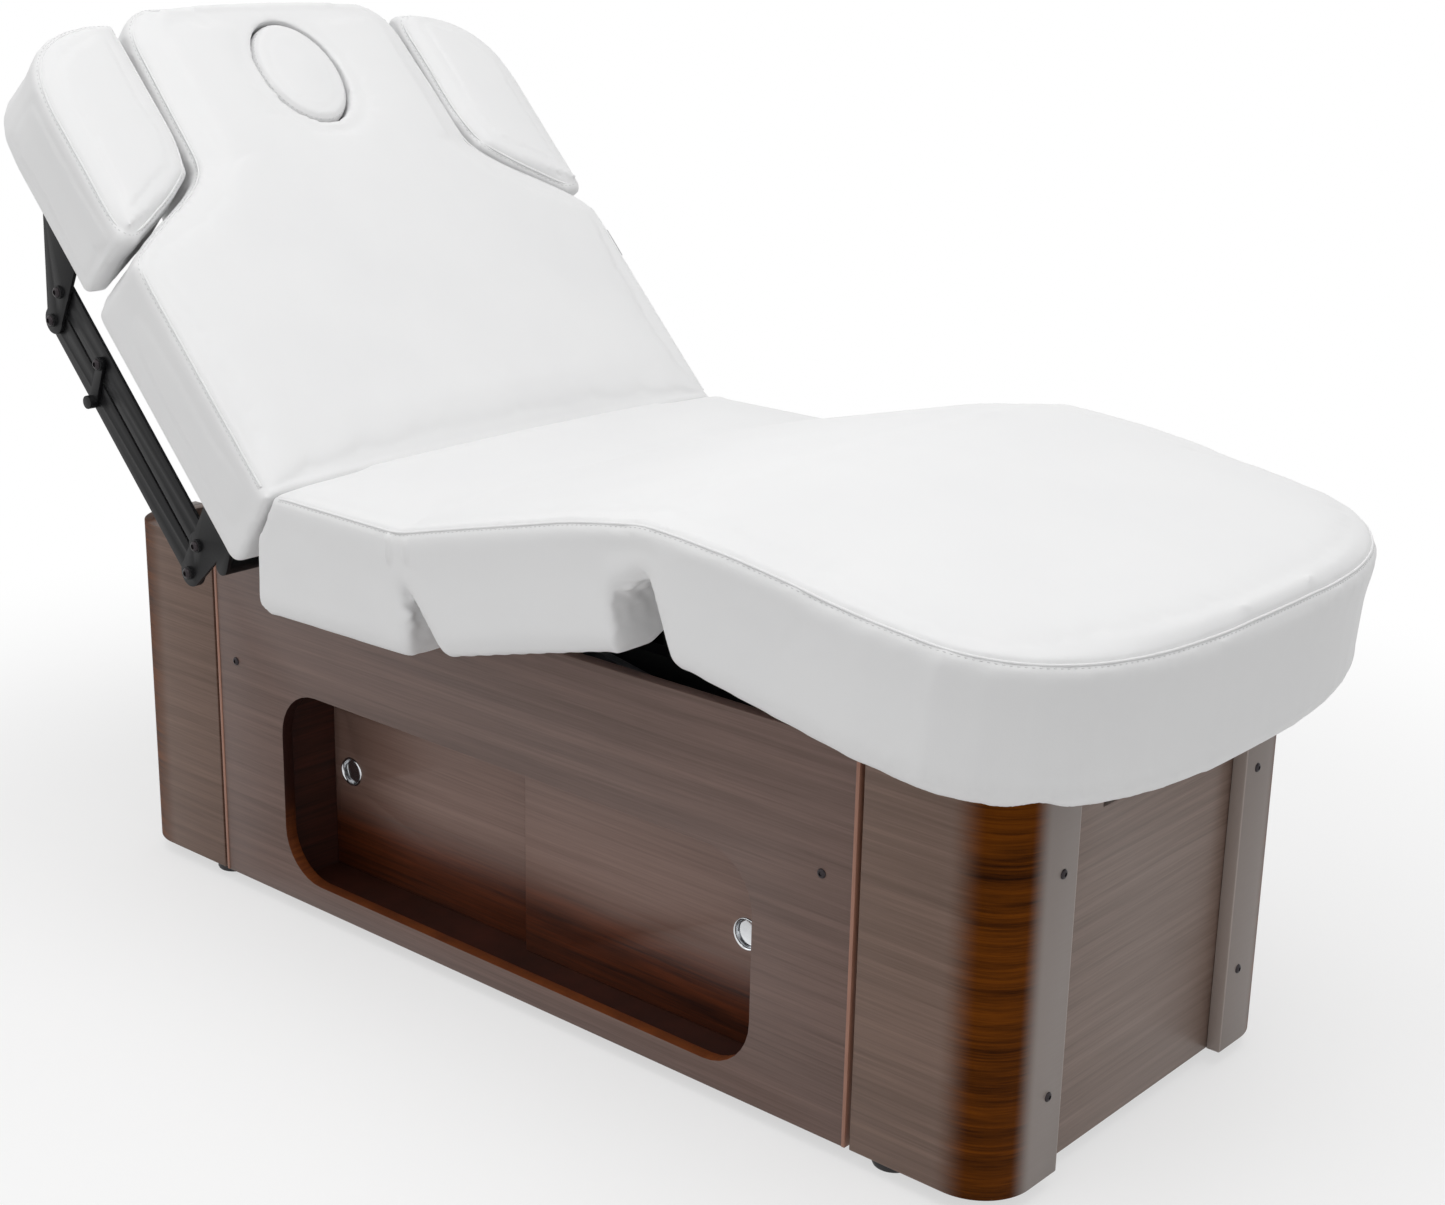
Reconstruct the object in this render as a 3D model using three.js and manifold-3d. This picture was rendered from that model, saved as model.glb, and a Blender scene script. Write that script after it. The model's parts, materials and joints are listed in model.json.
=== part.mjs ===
// Electric treatment table with a wooden storage base, a parallelogram lift and a jointed mattress.
// Millimetres. +Z is up, +X points to the foot end, and -Y is the side with the storage doors.
// The pose is the stored one: lift down, backrest and knee raised, arm wings up, doors shut.
import * as THREE from 'three';
import { mergeVertices } from 'three/addons/utils/BufferGeometryUtils.js';
import Module from 'manifold-3d';

const wasm = await Module();
wasm.setup();

// Clearances and one overrun for every cut
const seatGap = 0.3;
const bushGap = 0.35;
const sideGap = 2;
const overrun = 20;

// Wooden base
const longRailHalf = 605;
const railToEnd = 147;
const baseLength = 2 * (longRailHalf + railToEnd);
const baseWidth = 604;
const baseHeight = 477;
const footHeight = 21;
const plywood = 18;
const cornerRadius = 67;
const postLength = 197;
const grooveX = baseLength / 2 - postLength;
const grooveWidth = 6;
const stripWidth = 121;
const endInset = plywood + seatGap;
const baseTop = footHeight + baseHeight;
const sideInner = baseWidth / 2 - plywood;
const portalWidth = 30;

// Mattress
const mattressWidth = 838;
const crown = 15;
const edgeRadius = 14;
const softCorner = 12;
const sideDraw = 3;
const boardThickness = 12;
const boardInset = 12;
const padThickness = 141.5;
const seatTop = 642;
const pivotDepth = 69;
const padUnder = pivotDepth - padThickness;
const padBottom = padUnder + boardThickness + seatGap;

// Backrest
const backPivotDrop = 120;
const backPivot = [-338, seatTop - backPivotDrop];
const backAngle = 46.9;
const backDepth = 117;
const backThickness = 132;
const creaseAlong = 47.7;
const backLength = 765;
const shoulderStart = 353;
const shoulderEnd = 489;
const neckHalf = 248;
const headHalf = 241;
const headCorner = 64;

// Knee section: the two hinge lines lie the pivot depth below the mattress seam
const thighPivot = [-42, seatTop - pivotDepth];
const thighAngle = 13.7;
const legAngle = 8.3;
const thighLength = 392;
const legLength = 536;
const footCurveStart = 292;
const footCurvePower_share = 2.65;

// Lift
const armLength = 460;
const armAngle = 10;
const armPivotDrop = 252;
const armPivotZ = seatTop - armPivotDrop;
const armToRailEnd = 45;
const armPivotX = { head: -20, foot: longRailHalf - armToRailEnd };
const armThickness = 12;
const armPlay = 5.7;
const armInner = sideInner - seatGap - portalWidth - armPlay - armThickness;
const armHeight = 40;

// Carriage side rails, and the hinge ears that stand on them
const railWidth = 30;
const railPlay = 6;
const railOuter = armInner - railPlay;
const railInner = railOuter - railWidth;
const railTop = seatTop - padThickness - seatGap;
const railDepth = 45;
const railBottom = railTop - railDepth;
const earThickness = 10;
const hingePlay = 15;
const frameWidth = 20;
const frameOuter = railInner - hingePlay;
const frameInner = frameOuter - frameWidth;
const driveInset = 55;
const pinSink = 4;
const plateSink = 3;
const rootSink = 5;
const frameDepth = 25;
const pinRadius = 7;
const earRadius = 12.5;

const rad = THREE.MathUtils.degToRad;
const table = new THREE.Group();
table.name = 'table';

// Finishes
function finish(color, roughness, metalness = 0) {
  return new THREE.MeshStandardMaterial({ color, roughness, metalness });
}
const veneer = finish(0x5a3a2a, 0.45);
const innerVeneer = finish(0x3a1f15, 0.6);
const plainPly = finish(0x8a6a4a, 0.7);
const leatherette = finish(0xf0f0ee, 0.55);
const blackSteel = finish(0x18181a, 0.5, 0.5);
const greySteel = finish(0x55585c, 0.5, 0.6);
const chrome = finish(0xc8ccd0, 0.15, 1);
const blackPlastic = finish(0x101012, 0.6);

// Solids
function solid(geometry) {
  const bare = geometry.index ? geometry.toNonIndexed() : geometry.clone();
  bare.deleteAttribute('normal');
  bare.deleteAttribute('uv');
  const merged = mergeVertices(bare, 1e-4);
  const vertProperties = Float32Array.from(merged.attributes.position.array);
  const triVerts = Uint32Array.from(merged.index.array);
  return new wasm.Manifold(new wasm.Mesh({ numProp: 3, vertProperties, triVerts }));
}

function toGeometry(body) {
  const data = body.getMesh();
  const geometry = new THREE.BufferGeometry();
  geometry.setAttribute('position', new THREE.BufferAttribute(data.vertProperties, 3));
  geometry.setIndex(new THREE.BufferAttribute(data.triVerts, 1));
  geometry.computeVertexNormals();
  return geometry;
}

function box(x0, x1, y0, y1, z0, z1) {
  const geometry = new THREE.BoxGeometry(x1 - x0, y1 - y0, z1 - z0);
  geometry.translate((x0 + x1) / 2, (y0 + y1) / 2, (z0 + z1) / 2);
  return solid(geometry);
}

function outline(points) {
  return new THREE.Shape(points.map(([a, b]) => new THREE.Vector2(a, b)));
}

// An outline in X and Z, extruded from y0 to y1
function sidePlate(shape, y0, y1, curveSegments = 4) {
  const geometry = new THREE.ExtrudeGeometry(shape, { depth: y1 - y0, bevelEnabled: false, curveSegments });
  geometry.rotateX(Math.PI / 2);
  geometry.translate(0, y1, 0);
  return solid(geometry);
}

// An outline in X and Y, extruded from z0 to z1
function planPlate(shape, z0, z1, curveSegments = 8) {
  const geometry = new THREE.ExtrudeGeometry(shape, { depth: z1 - z0, bevelEnabled: false, curveSegments });
  geometry.translate(0, 0, z0);
  return solid(geometry);
}

function crossRod(radius, x, z, y0, y1, sides = 12) {
  const geometry = new THREE.CylinderGeometry(radius, radius, y1 - y0, sides);
  geometry.translate(x, (y0 + y1) / 2, z);
  return solid(geometry);
}

function longRod(radius, x0, x1, y, z, sides = 14) {
  const geometry = new THREE.CylinderGeometry(radius, radius, x1 - x0, sides);
  geometry.rotateZ(Math.PI / 2);
  geometry.translate((x0 + x1) / 2, y, z);
  return solid(geometry);
}

function join(pieces) {
  return pieces.reduce((whole, piece) => whole.add(piece));
}

// A bar with round ends between two points, as wide as twice its radius
function linkShape([ax, az], [bx, bz], radius) {
  const along = Math.atan2(bz - az, bx - ax);
  const shape = new THREE.Shape();
  shape.absarc(ax, az, radius, along + Math.PI / 2, along + 3 * Math.PI / 2, false);
  shape.absarc(bx, bz, radius, along - Math.PI / 2, along + Math.PI / 2, false);
  shape.closePath();
  return shape;
}

// An ear: a foot on a flat, tapering to a round eye
function earShape([footStart, footEnd], footLevel, [eyeX, eyeZ], radius) {
  const shape = new THREE.Shape();
  const down = Math.sign(footLevel - eyeZ);
  shape.moveTo(footStart, footLevel);
  shape.lineTo(footEnd, footLevel);
  if (down < 0) shape.absarc(eyeX, eyeZ, radius, 0, Math.PI, false);
  else shape.absarc(eyeX, eyeZ, radius, 0, -Math.PI, true);
  shape.closePath();
  return shape;
}

function onSide(side, near, far) {
  return side < 0 ? [-far, -near] : [near, far];
}

function add(parent, name, body, material) {
  const mesh = new THREE.Mesh(toGeometry(body), material);
  mesh.name = name;
  parent.add(mesh);
  return mesh;
}

function pivotGroup(parent, name, x, z, tilt) {
  const group = new THREE.Group();
  group.name = name;
  group.position.set(x, 0, z);
  group.rotation.y = rad(tilt);
  parent.add(group);
  return group;
}

// A cushion is a loft of closed rings. Each ring stands across the cushion, and may lean about its foot.
const crownFalloff_share = 2.5;
const crownSteps_share = [0.85, 0.62, 0.36, 0];

function cushionRing({ at, lean = 0, centre = 0, bottom, top, bulge = crown, widest }) {
  const rounded = Math.min(edgeRadius, (top - bottom) / 2);
  const lower = Math.min(softCorner, (top - bottom) / 2);
  const half = [[lower, 0, bottom], [lower, 1, bottom], [0, 1, bottom + lower]];
  half.push([sideDraw, 1, (bottom + top) / 2]);
  half.push([0, 1, top - rounded], [rounded * 0.3, 1, top - rounded * 0.3], [rounded, 1, top]);
  for (const share of crownSteps_share) half.push([rounded, share, top]);
  const place = (side, [inset, share, height]) => {
    const { x, w } = at(inset);
    const y = side * share * w;
    const reach = Math.min(1, Math.abs(y) / (widest - edgeRadius));
    const raised = share > 0 && height < top ? 0 : bulge * (1 - reach ** crownFalloff_share);
    const level = height === top && share < 1 ? height + raised : height;
    return new THREE.Vector3(x + level * Math.sin(lean), centre + y, level * Math.cos(lean));
  };
  const right = half.map((point) => place(1, point));
  const left = half.slice(1, -1).map((point) => place(-1, point));
  return [...right, ...left.reverse()];
}

function loft(rings) {
  const count = rings[0].length;
  const positions = [];
  const push = (...points) => points.forEach((p) => positions.push(p.x, p.y, p.z));
  for (let i = 0; i + 1 < rings.length; i += 1) {
    for (let j = 0; j < count; j += 1) {
      const k = (j + 1) % count;
      push(rings[i][j], rings[i][k], rings[i + 1][k]);
      push(rings[i][j], rings[i + 1][k], rings[i + 1][j]);
    }
  }
  // The end is closed by level strips between mirrored points, so it keeps the ring's own profile
  const cap = (ring, outward) => {
    const facing = (a, b, c) => (outward ? push(a, b, c) : push(c, b, a));
    const [foot, mirror] = [ring[0], (j) => ring[count - j]];
    facing(foot, ring[1], ring[2]);
    facing(foot, ring[2], mirror(2));
    facing(foot, mirror(2), mirror(1));
    for (let j = 2; j + 1 < count / 2; j += 1) {
      facing(ring[j], ring[j + 1], mirror(j + 1));
      facing(ring[j], mirror(j + 1), mirror(j));
    }
    facing(ring[count / 2 - 1], ring[count / 2], mirror(count / 2 - 1));
  };
  cap(rings[0], false);
  cap(rings[rings.length - 1], true);
  const geometry = new THREE.BufferGeometry();
  geometry.setAttribute('position', new THREE.Float32BufferAttribute(positions, 3));
  return solid(geometry);
}

// Wooden base: two side panels, two end panels and four bent corner posts on four feet
const nicheHalf = 413.5;
const nicheCentreX = -4.5;
const nicheBottom = 55;
const nicheTop = 326;
const nicheRadius = 69;

function nicheShape() {
  const [x0, x1] = [nicheCentreX - nicheHalf, nicheCentreX + nicheHalf];
  const shape = new THREE.Shape();
  shape.absarc(x1 - nicheRadius, nicheBottom + nicheRadius, nicheRadius, -Math.PI / 2, 0, false);
  shape.absarc(x1 - nicheRadius, nicheTop - nicheRadius, nicheRadius, 0, Math.PI / 2, false);
  shape.absarc(x0 + nicheRadius, nicheTop - nicheRadius, nicheRadius, Math.PI / 2, Math.PI, false);
  shape.absarc(x0 + nicheRadius, nicheBottom + nicheRadius, nicheRadius, Math.PI, 3 * Math.PI / 2, false);
  shape.closePath();
  return shape;
}

function sidePanel(side) {
  const half = grooveX - grooveWidth / 2;
  const [y0, y1] = onSide(side, sideInner, baseWidth / 2);
  const panel = box(-half, half, y0, y1, footHeight, baseTop);
  return side < 0 ? panel.subtract(sidePlate(nicheShape(), y0 - overrun, y1 + overrun)) : panel;
}

function cornerPost(endSign, side) {
  const [outerX, outerY] = [baseLength / 2, baseWidth / 2];
  const [cx, cy] = [outerX - cornerRadius, outerY - cornerRadius];
  const inner = cornerRadius - plywood;
  const start = grooveX + grooveWidth / 2;
  const stripEnd = outerY - stripWidth;
  const shape = new THREE.Shape();
  shape.moveTo(start, outerY);
  shape.lineTo(start, outerY - plywood);
  shape.lineTo(cx, outerY - plywood);
  shape.absarc(cx, cy, inner, Math.PI / 2, 0, true);
  shape.lineTo(outerX - plywood, stripEnd);
  shape.lineTo(outerX, stripEnd);
  shape.absarc(cx, cy, cornerRadius, 0, Math.PI / 2, false);
  const settings = { depth: baseHeight, bevelEnabled: false, curveSegments: 10 };
  const flat = new THREE.ExtrudeGeometry(shape, settings);
  flat.translate(0, 0, footHeight);
  const post = solid(flat);
  if (endSign > 0 && side > 0) return post;
  if (endSign < 0 && side < 0) return post.rotate([0, 0, 180]);
  return endSign < 0 ? post.mirror([1, 0, 0]) : post.mirror([0, 1, 0]);
}

const notchHalf = 106;
const notchDepth = 74;

function endPanel(endSign) {
  const outer = baseLength / 2 - endInset;
  const half = baseWidth / 2 - cornerRadius - seatGap;
  const panel = box(outer - plywood, outer, -half, half, footHeight, baseTop);
  if (endSign < 0) return panel.mirror([1, 0, 0]);
  const notch = box(outer - plywood - overrun, outer + overrun, -notchHalf, notchHalf,
    baseTop - notchDepth, baseTop + overrun);
  return panel.subtract(notch);
}

const footEdge = 42;
const footX = longRailHalf - portalWidth / 2;
const footY = baseWidth / 2 - footEdge;
const footRadius = 25;
const footPad = 13;
const footStem = 6;
const footEase = 3;
const footSlope = 2;
const footShoulder = 1;

function levellingFoot(x, y) {
  const profile = [
    [0, 0], [footRadius - footEase, 0], [footRadius, footEase], [footRadius - footSlope, footPad - footSlope],
    [footStem * 2, footPad], [footStem, footPad + footShoulder], [footStem, footHeight], [0, footHeight],
  ].map(([r, z]) => new THREE.Vector2(r, z));
  const geometry = new THREE.LatheGeometry(profile, 12);
  geometry.rotateX(Math.PI / 2);
  geometry.translate(x, y, 0);
  return solid(geometry);
}

add(table, 'side_panel_near', sidePanel(-1), veneer);
add(table, 'side_panel_far', sidePanel(1), veneer);
for (const [endName, endSign] of [['head', -1], ['foot', 1]]) {
  add(table, `end_panel_${endName}`, endPanel(endSign), veneer);
  for (const [sideName, side] of [['near', -1], ['far', 1]]) {
    add(table, `corner_post_${endName}_${sideName}`, cornerPost(endSign, side), veneer);
    const foot = levellingFoot(endSign * footX, side * footY);
    add(table, `levelling_foot_${endName}_${sideName}`, foot, blackPlastic);
  }
}

// Steel frame inside the base: a portal over each pair of feet, and two long rails that carry the lift
const portalOuter = sideInner - seatGap;
const portalInner = portalOuter - portalWidth;
const portalBottom = footHeight + seatGap;
const longRailDepth = 36;
const longRailBottom = armPivotZ - longRailDepth / 2;
const longRailTop = longRailBottom + longRailDepth;
const armPinRadius = 10;

// Lift actuator: its foot is forked on the head portal and its rod pushes a crank on the head arm
const liftFoot = [-420, 90];
const liftCrank = 40;
const liftEye = [-98.2, armPivotZ + liftCrank];
const liftY = 0;
const liftStroke = 60.5;
const forkHalf = 26;
const forkPlate = 6;

function portal(endSign) {
  const x = endSign * footX;
  const [x0, x1] = [x - portalWidth / 2, x + portalWidth / 2];
  const bar = box(x0, x1, -portalOuter, portalOuter, portalBottom, portalBottom + portalWidth);
  const postTop = longRailBottom - seatGap;
  const parts = [bar];
  for (const side of [-1, 1]) {
    const [y0, y1] = onSide(side, portalInner, portalOuter);
    parts.push(box(x0, x1, y0, y1, portalBottom, postTop));
  }
  if (endSign < 0) {
    for (const side of [-1, 1]) {
      const [y0, y1] = onSide(side, forkHalf, forkHalf + forkPlate).map((y) => y + liftY);
      parts.push(sidePlate(linkShape([x, portalBottom + portalWidth / 2], liftFoot, earRadius), y0, y1));
    }
    const pinHalf = forkHalf + forkPlate / 2;
    parts.push(crossRod(pinRadius, ...liftFoot, liftY - pinHalf, liftY + pinHalf));
  }
  return join(parts);
}

function longRail(side) {
  const [y0, y1] = onSide(side, portalInner, portalOuter);
  const rail = box(-longRailHalf, longRailHalf, y0, y1, longRailBottom, longRailTop);
  const [p0, p1] = onSide(side, armInner - pinSink, portalInner + rootSink);
  return join([rail, ...Object.values(armPivotX).map((x) => crossRod(armPinRadius, x, armPivotZ, p0, p1))]);
}

add(table, 'frame_portal_head', portal(-1), greySteel);
add(table, 'frame_portal_foot', portal(1), greySteel);
add(table, 'frame_rail_near', longRail(-1), greySteel);
add(table, 'frame_rail_far', longRail(1), greySteel);

// Storage box behind the near side's opening, with two sliding doors in two planes
const storageX = [-452, 446];
const storageBack = -40;
const storageTop = 350;
const storageFloor = 31;
const storageWall = 12;
const storageLift = 1;
const doorThickness = 12;
const doorFront = -211;
const doorPitch = 16;
const doorWidth = 479;
const doorSlack = 0.6;
const doorRest = { head: storageX[0] + storageWall + doorSlack, foot: storageX[1] - storageWall - doorSlack };
const pullX = { head: -405, foot: 328 };
const pullZ = 177;
const pullRadius = 18;
const pullDepth = 9;
const pullRim = 1.5;
const pullFlange = 3;
const pullWall = 1.5;

function storageBox() {
  const front = -sideInner + seatGap;
  const bottom = footHeight + storageLift;
  const shell = box(...storageX, front, storageBack, bottom, storageTop);
  const inside = box(storageX[0] + storageWall, storageX[1] - storageWall, front - overrun,
    storageBack - storageWall, storageFloor, storageTop - storageWall);
  return shell.subtract(inside);
}

function doorPlane(name) {
  return name === 'foot' ? doorFront : doorFront + doorPitch;
}

function slidingDoor(name) {
  const y = doorPlane(name);
  const [x0, x1] = name === 'head'
    ? [doorRest.head, doorRest.head + doorWidth] : [doorRest.foot - doorWidth, doorRest.foot];
  const [bottom, top] = [storageFloor + doorSlack, storageTop - storageWall - doorSlack];
  const door = box(x0, x1, y, y + doorThickness, bottom, top);
  const pocket = crossRod(pullRadius + seatGap, pullX[name], pullZ, y - overrun, y + pullDepth + seatGap, 20);
  return door.subtract(pocket);
}

function doorPull(name) {
  const y = doorPlane(name);
  const profile = [
    [0, pullDepth], [pullRadius, pullDepth], [pullRadius, -seatGap], [pullRadius + pullFlange, -seatGap],
    [pullRadius + pullFlange, -pullRim], [pullRadius - pullWall, -pullRim],
    [pullRadius - pullWall, pullDepth - pullWall], [0, pullDepth - pullWall],
  ].map(([r, depth]) => new THREE.Vector2(r, -depth));
  const geometry = new THREE.LatheGeometry(profile, 20);
  geometry.rotateX(Math.PI);
  geometry.translate(pullX[name], y, pullZ);
  const pull = solid(geometry);
  return pull;
}

add(table, 'storage_box', storageBox(), innerVeneer);
for (const name of ['head', 'foot']) {
  add(table, `sliding_door_${name}`, slidingDoor(name), innerVeneer);
  add(table, `door_pull_${name}`, doorPull(name), chrome);
}

// Control box and mains inlet on the far side panel
const controlX = [-120, 60];
const controlZ = [150, 270];
const controlDepth = 40;
const inletToFoot = 110;
const inletX = footX - inletToFoot;
const inletZ = 90;
const inletSize = [48, 30];
const inletFlange = [60, 40];
const inletProud = 3;
const inletBehind = 8;
const inletWall = [6, 5];
const faceSink = 1;

function inlet() {
  const [w, h] = inletSize.map((size) => size / 2);
  const [fw, fh] = inletFlange.map((size) => size / 2);
  const face = baseWidth / 2 + seatGap;
  const body = box(inletX - w, inletX + w, sideInner - inletBehind, face + faceSink, inletZ - h, inletZ + h);
  const flange = box(inletX - fw, inletX + fw, face, face + inletProud, inletZ - fh, inletZ + fh);
  const [wallX, wallZ] = inletWall;
  const socket = box(inletX - w + wallX, inletX + w - wallX, baseWidth / 2 - plywood / 2, face + overrun,
    inletZ - h + wallZ, inletZ + h - wallZ);
  return body.add(flange).subtract(socket);
}

const farPanel = table.getObjectByName('side_panel_far');
const [cutX, cutZ] = inletSize.map((size) => size / 2 + seatGap);
const inletCut = box(inletX - cutX, inletX + cutX, sideInner - overrun, baseWidth / 2 + overrun,
  inletZ - cutZ, inletZ + cutZ);
farPanel.geometry = toGeometry(sidePanel(1).subtract(inletCut));
const controlBox = box(...controlX, portalOuter - controlDepth, portalOuter, ...controlZ);
add(table, 'control_box', controlBox, blackPlastic);
add(table, 'mains_inlet', inlet(), blackPlastic);

// Lift arms: two flat bars and a cross tube each. The head arm also has the crank for the lift actuator
const armTube = [-60, -25];
const armTubeRadius = 12.5;
const eyeRadius = 22;
const cranePlate = 8;
const liftSlack = 5.5;

const arms = {};
for (const [name, x] of Object.entries(armPivotX)) {
  arms[name] = pivotGroup(table, `pivot_arm_${name}`, x, armPivotZ, armAngle);
}

function turnBack([x, z], tilt) {
  const [c, s] = [Math.cos(rad(tilt)), Math.sin(rad(tilt))];
  return [x * c - z * s, x * s + z * c];
}

function liftArm(name) {
  const parts = [];
  const hole = armPinRadius + bushGap;
  for (const side of [-1, 1]) {
    const [y0, y1] = onSide(side, armInner, armInner + armThickness);
    let bar = sidePlate(linkShape([0, 0], [-armLength, 0], armHeight / 2), y0, y1, 6);
    bar = bar.add(sidePlate(linkShape([armTube[0], 0], armTube, armTubeRadius + 4), y0, y1));
    for (const x of [0, -armLength]) bar = bar.subtract(crossRod(hole, x, 0, y0 - overrun, y1 + overrun));
    parts.push(bar);
  }
  parts.push(crossRod(armTubeRadius, ...armTube, -armInner - 2, armInner + 2));
  if (name === 'head') {
    const eye = turnBack([liftEye[0] - armPivotX.head, liftEye[1] - armPivotZ], armAngle);
    for (const side of [-1, 1]) {
      const [y0, y1] = onSide(side, forkHalf - cranePlate, forkHalf).map((y) => y + liftY);
      parts.push(sidePlate(linkShape(armTube, eye, earRadius), y0, y1));
    }
    parts.push(crossRod(pinRadius, ...eye, liftY - forkHalf + 1, liftY + forkHalf - 1));
  }
  return join(parts);
}

add(arms.head, 'lift_arm_head', liftArm('head'), greySteel);
add(arms.foot, 'lift_arm_foot', liftArm('foot'), greySteel);

// An electric actuator: a tube with a motor beside it, an eye at its foot, and a rod with an eye at its end
const tubeRadius = 17;
const rodRadius = 10;
const footEye = 12;
const eyeWall = 7;
const tubeSquare = 44;
const rodShort = 26;
const rodGrip = 30;
const rodPlay = 3;
const motorRadius = 27;
const motorLength = 105;
const motorStart = 14;

function actuatorBody({ reach, y, motorSide, halfWidth, draw, push }) {
  const tubeLength = reach - draw - rodShort;
  const boreStart = tubeLength - push - rodGrip - draw - rodPlay;
  const head = box(footEye, footEye + tubeSquare, y - halfWidth, y + halfWidth, -tubeRadius, tubeRadius);
  const eye = sidePlate(linkShape([0, 0], [tubeSquare / 2, 0], footEye), y - halfWidth, y + halfWidth)
    .subtract(crossRod(pinRadius + bushGap, 0, 0, y - forkHalf - overrun, y + forkHalf + overrun));
  const tube = longRod(tubeRadius, footEye, tubeLength, y, 0, 24);
  const motorY = y + motorSide * (halfWidth + motorRadius - 4);
  const motor = longRod(motorRadius, footEye + motorStart, footEye + motorLength, motorY, 0, 20);
  const bore = longRod(rodRadius + bushGap, boreStart, tubeLength + overrun, y, 0);
  return join([head, eye, tube, motor]).subtract(bore);
}

function actuatorRod({ reach, y, slack, eyeHalf, draw, push }) {
  const rod = longRod(rodRadius, reach - draw - rodShort - push - rodGrip, reach - pinRadius - slack, y, 0);
  const eye = crossRod(pinRadius + slack + eyeWall, reach, 0, y - eyeHalf, y + eyeHalf, 20);
  const hole = crossRod(pinRadius + slack, reach, 0, y - forkHalf - overrun, y + forkHalf + overrun, 20);
  return rod.add(eye).subtract(hole);
}

function reachOf(from, to) {
  return Math.hypot(to[0] - from[0], to[1] - from[1]);
}

function actuator(label, from, to, settings) {
  const tilt = THREE.MathUtils.radToDeg(Math.atan2(to[1] - from[1], to[0] - from[0]));
  const group = pivotGroup(table, `pivot_${label}_actuator`, ...from, -tilt);
  const all = { reach: reachOf(from, to), halfWidth: bodyHalf, ...settings };
  add(group, `${label}_actuator`, actuatorBody(all), blackPlastic);
  add(group, `${label}_actuator_rod`, actuatorRod(all), chrome);
  return group;
}

const bodyHalf = forkHalf - sideGap;
const rodEyeHalf = forkHalf - cranePlate - sideGap;
actuator('lift', liftFoot, liftEye,
  { y: liftY, motorSide: 1, slack: liftSlack, eyeHalf: rodEyeHalf, draw: 0, push: liftStroke });

// Carriage: two side rails, cross members, ears for the back and thigh hinges, and actuator forks
const carriageX = [-490, 470];
const crossLow = 17;
const crossHigh = 16;
const crossLift = 11;
const crossHead = { x: [-458, -430], z: [railBottom, railBottom + crossLow] };
const crossSeat = { x: [-256, -226], z: [railTop - crossHigh, railTop] };
const crossMid = { x: [-54, -26], z: [railBottom + crossLift, railTop] };
const crossFoot = { x: [380, 408], z: [railBottom, railBottom + crossLow] };
const eyeDrops = { backA: 52, backB: 30.4, thighA: 85.2, thighB: 70.2, link: 42.2 };
const backEyeA = [-59.3, railTop - eyeDrops.backA];
const backEyeB = [-395.6, railTop - eyeDrops.backB];
const backY = frameInner - driveInset;
const backDraw = 55.5;
const backPush = 3.7;
const thighEyeA = [-240.5, railTop - eyeDrops.thighA];
const thighEyeB = [66.3, railTop - eyeDrops.thighB];
const thighY = -backY;
const thighDraw = 38.2;
const thighPush = 17.6;
const shelfReach = 25;
const shelfLift = 20;
const shelfThickness = 8;
const linkPivot = [430.8, railTop - eyeDrops.link];
const linkEye = [230.5, -92];
const linkInner = frameOuter + plateSink;
const linkThickness = 8;
const linkRadius = 12;

function fork(x, z, foot, footLevel, y) {
  const plates = [-1, 1].map((side) => {
    const [y0, y1] = onSide(side, forkHalf, forkHalf + forkPlate).map((v) => v + y);
    return sidePlate(earShape(foot, footLevel, [x, z], earRadius), y0, y1);
  });
  const pinHalf = forkHalf + forkPlate / 2;
  return join([...plates, crossRod(pinRadius, x, z, y - pinHalf, y + pinHalf)]);
}

function carriage() {
  const parts = [];
  const armTopX = Object.values(armPivotX).map((x) => x - armLength * Math.cos(rad(armAngle)));
  const armTopZ = armPivotZ + armLength * Math.sin(rad(armAngle));
  for (const side of [-1, 1]) {
    const [y0, y1] = onSide(side, railInner, railOuter);
    parts.push(box(...carriageX, y0, y1, railBottom, railTop));
    const [p0, p1] = onSide(side, railOuter - pinSink, armInner + armThickness + pinSink);
    for (const x of armTopX) parts.push(crossRod(armPinRadius, x, armTopZ, p0, p1));
    const [e0, e1] = onSide(side, railInner, railInner + earThickness);
    const thighFoot = [thighPivot[0] - earRadius - pinSink, thighPivot[0] + earRadius + pinSink];
    const backFoot = [backPivot[0] - earRadius - pinSink, backPivot[0] + earRadius + pinSink];
    parts.push(sidePlate(earShape(backFoot, railTop - rootSink, backPivot, earRadius + plateSink), e0, e1));
    parts.push(sidePlate(earShape(thighFoot, railTop - rootSink, thighPivot, earRadius), e0, e1));
    const [h0, h1] = onSide(side, frameOuter - earThickness - pinSink, railInner + pinSink);
    parts.push(crossRod(pinRadius, ...backPivot, h0, h1), crossRod(pinRadius, ...thighPivot, h0, h1));
    const [l0, l1] = onSide(side, linkInner - plateSink, railInner + pinSink);
    parts.push(crossRod(pinRadius, ...linkPivot, l0, l1));
    parts.push(crossRod(linkRadius, ...linkPivot, ...onSide(side, railInner, railOuter)));
  }
  for (const { x, z } of [crossHead, crossSeat, crossMid, crossFoot]) {
    parts.push(box(...x, -railInner - plateSink, railInner + plateSink, ...z));
  }
  const shelfStart = crossMid.x[0] - shelfReach;
  const shelfBottom = railBottom + shelfLift;
  const forkFoot = [shelfStart, crossMid.x[0] + shelfThickness];
  const shelfHalf = forkHalf + forkPlate;
  parts.push(fork(...backEyeA, forkFoot, shelfBottom + shelfThickness / 4, backY));
  parts.push(box(shelfStart, crossMid.x[0] + plateSink, backY - shelfHalf, backY + shelfHalf,
    shelfBottom, shelfBottom + shelfThickness));
  parts.push(fork(...thighEyeA, crossSeat.x, crossSeat.z[0] + pinSink, thighY));
  return join(parts);
}

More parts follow.
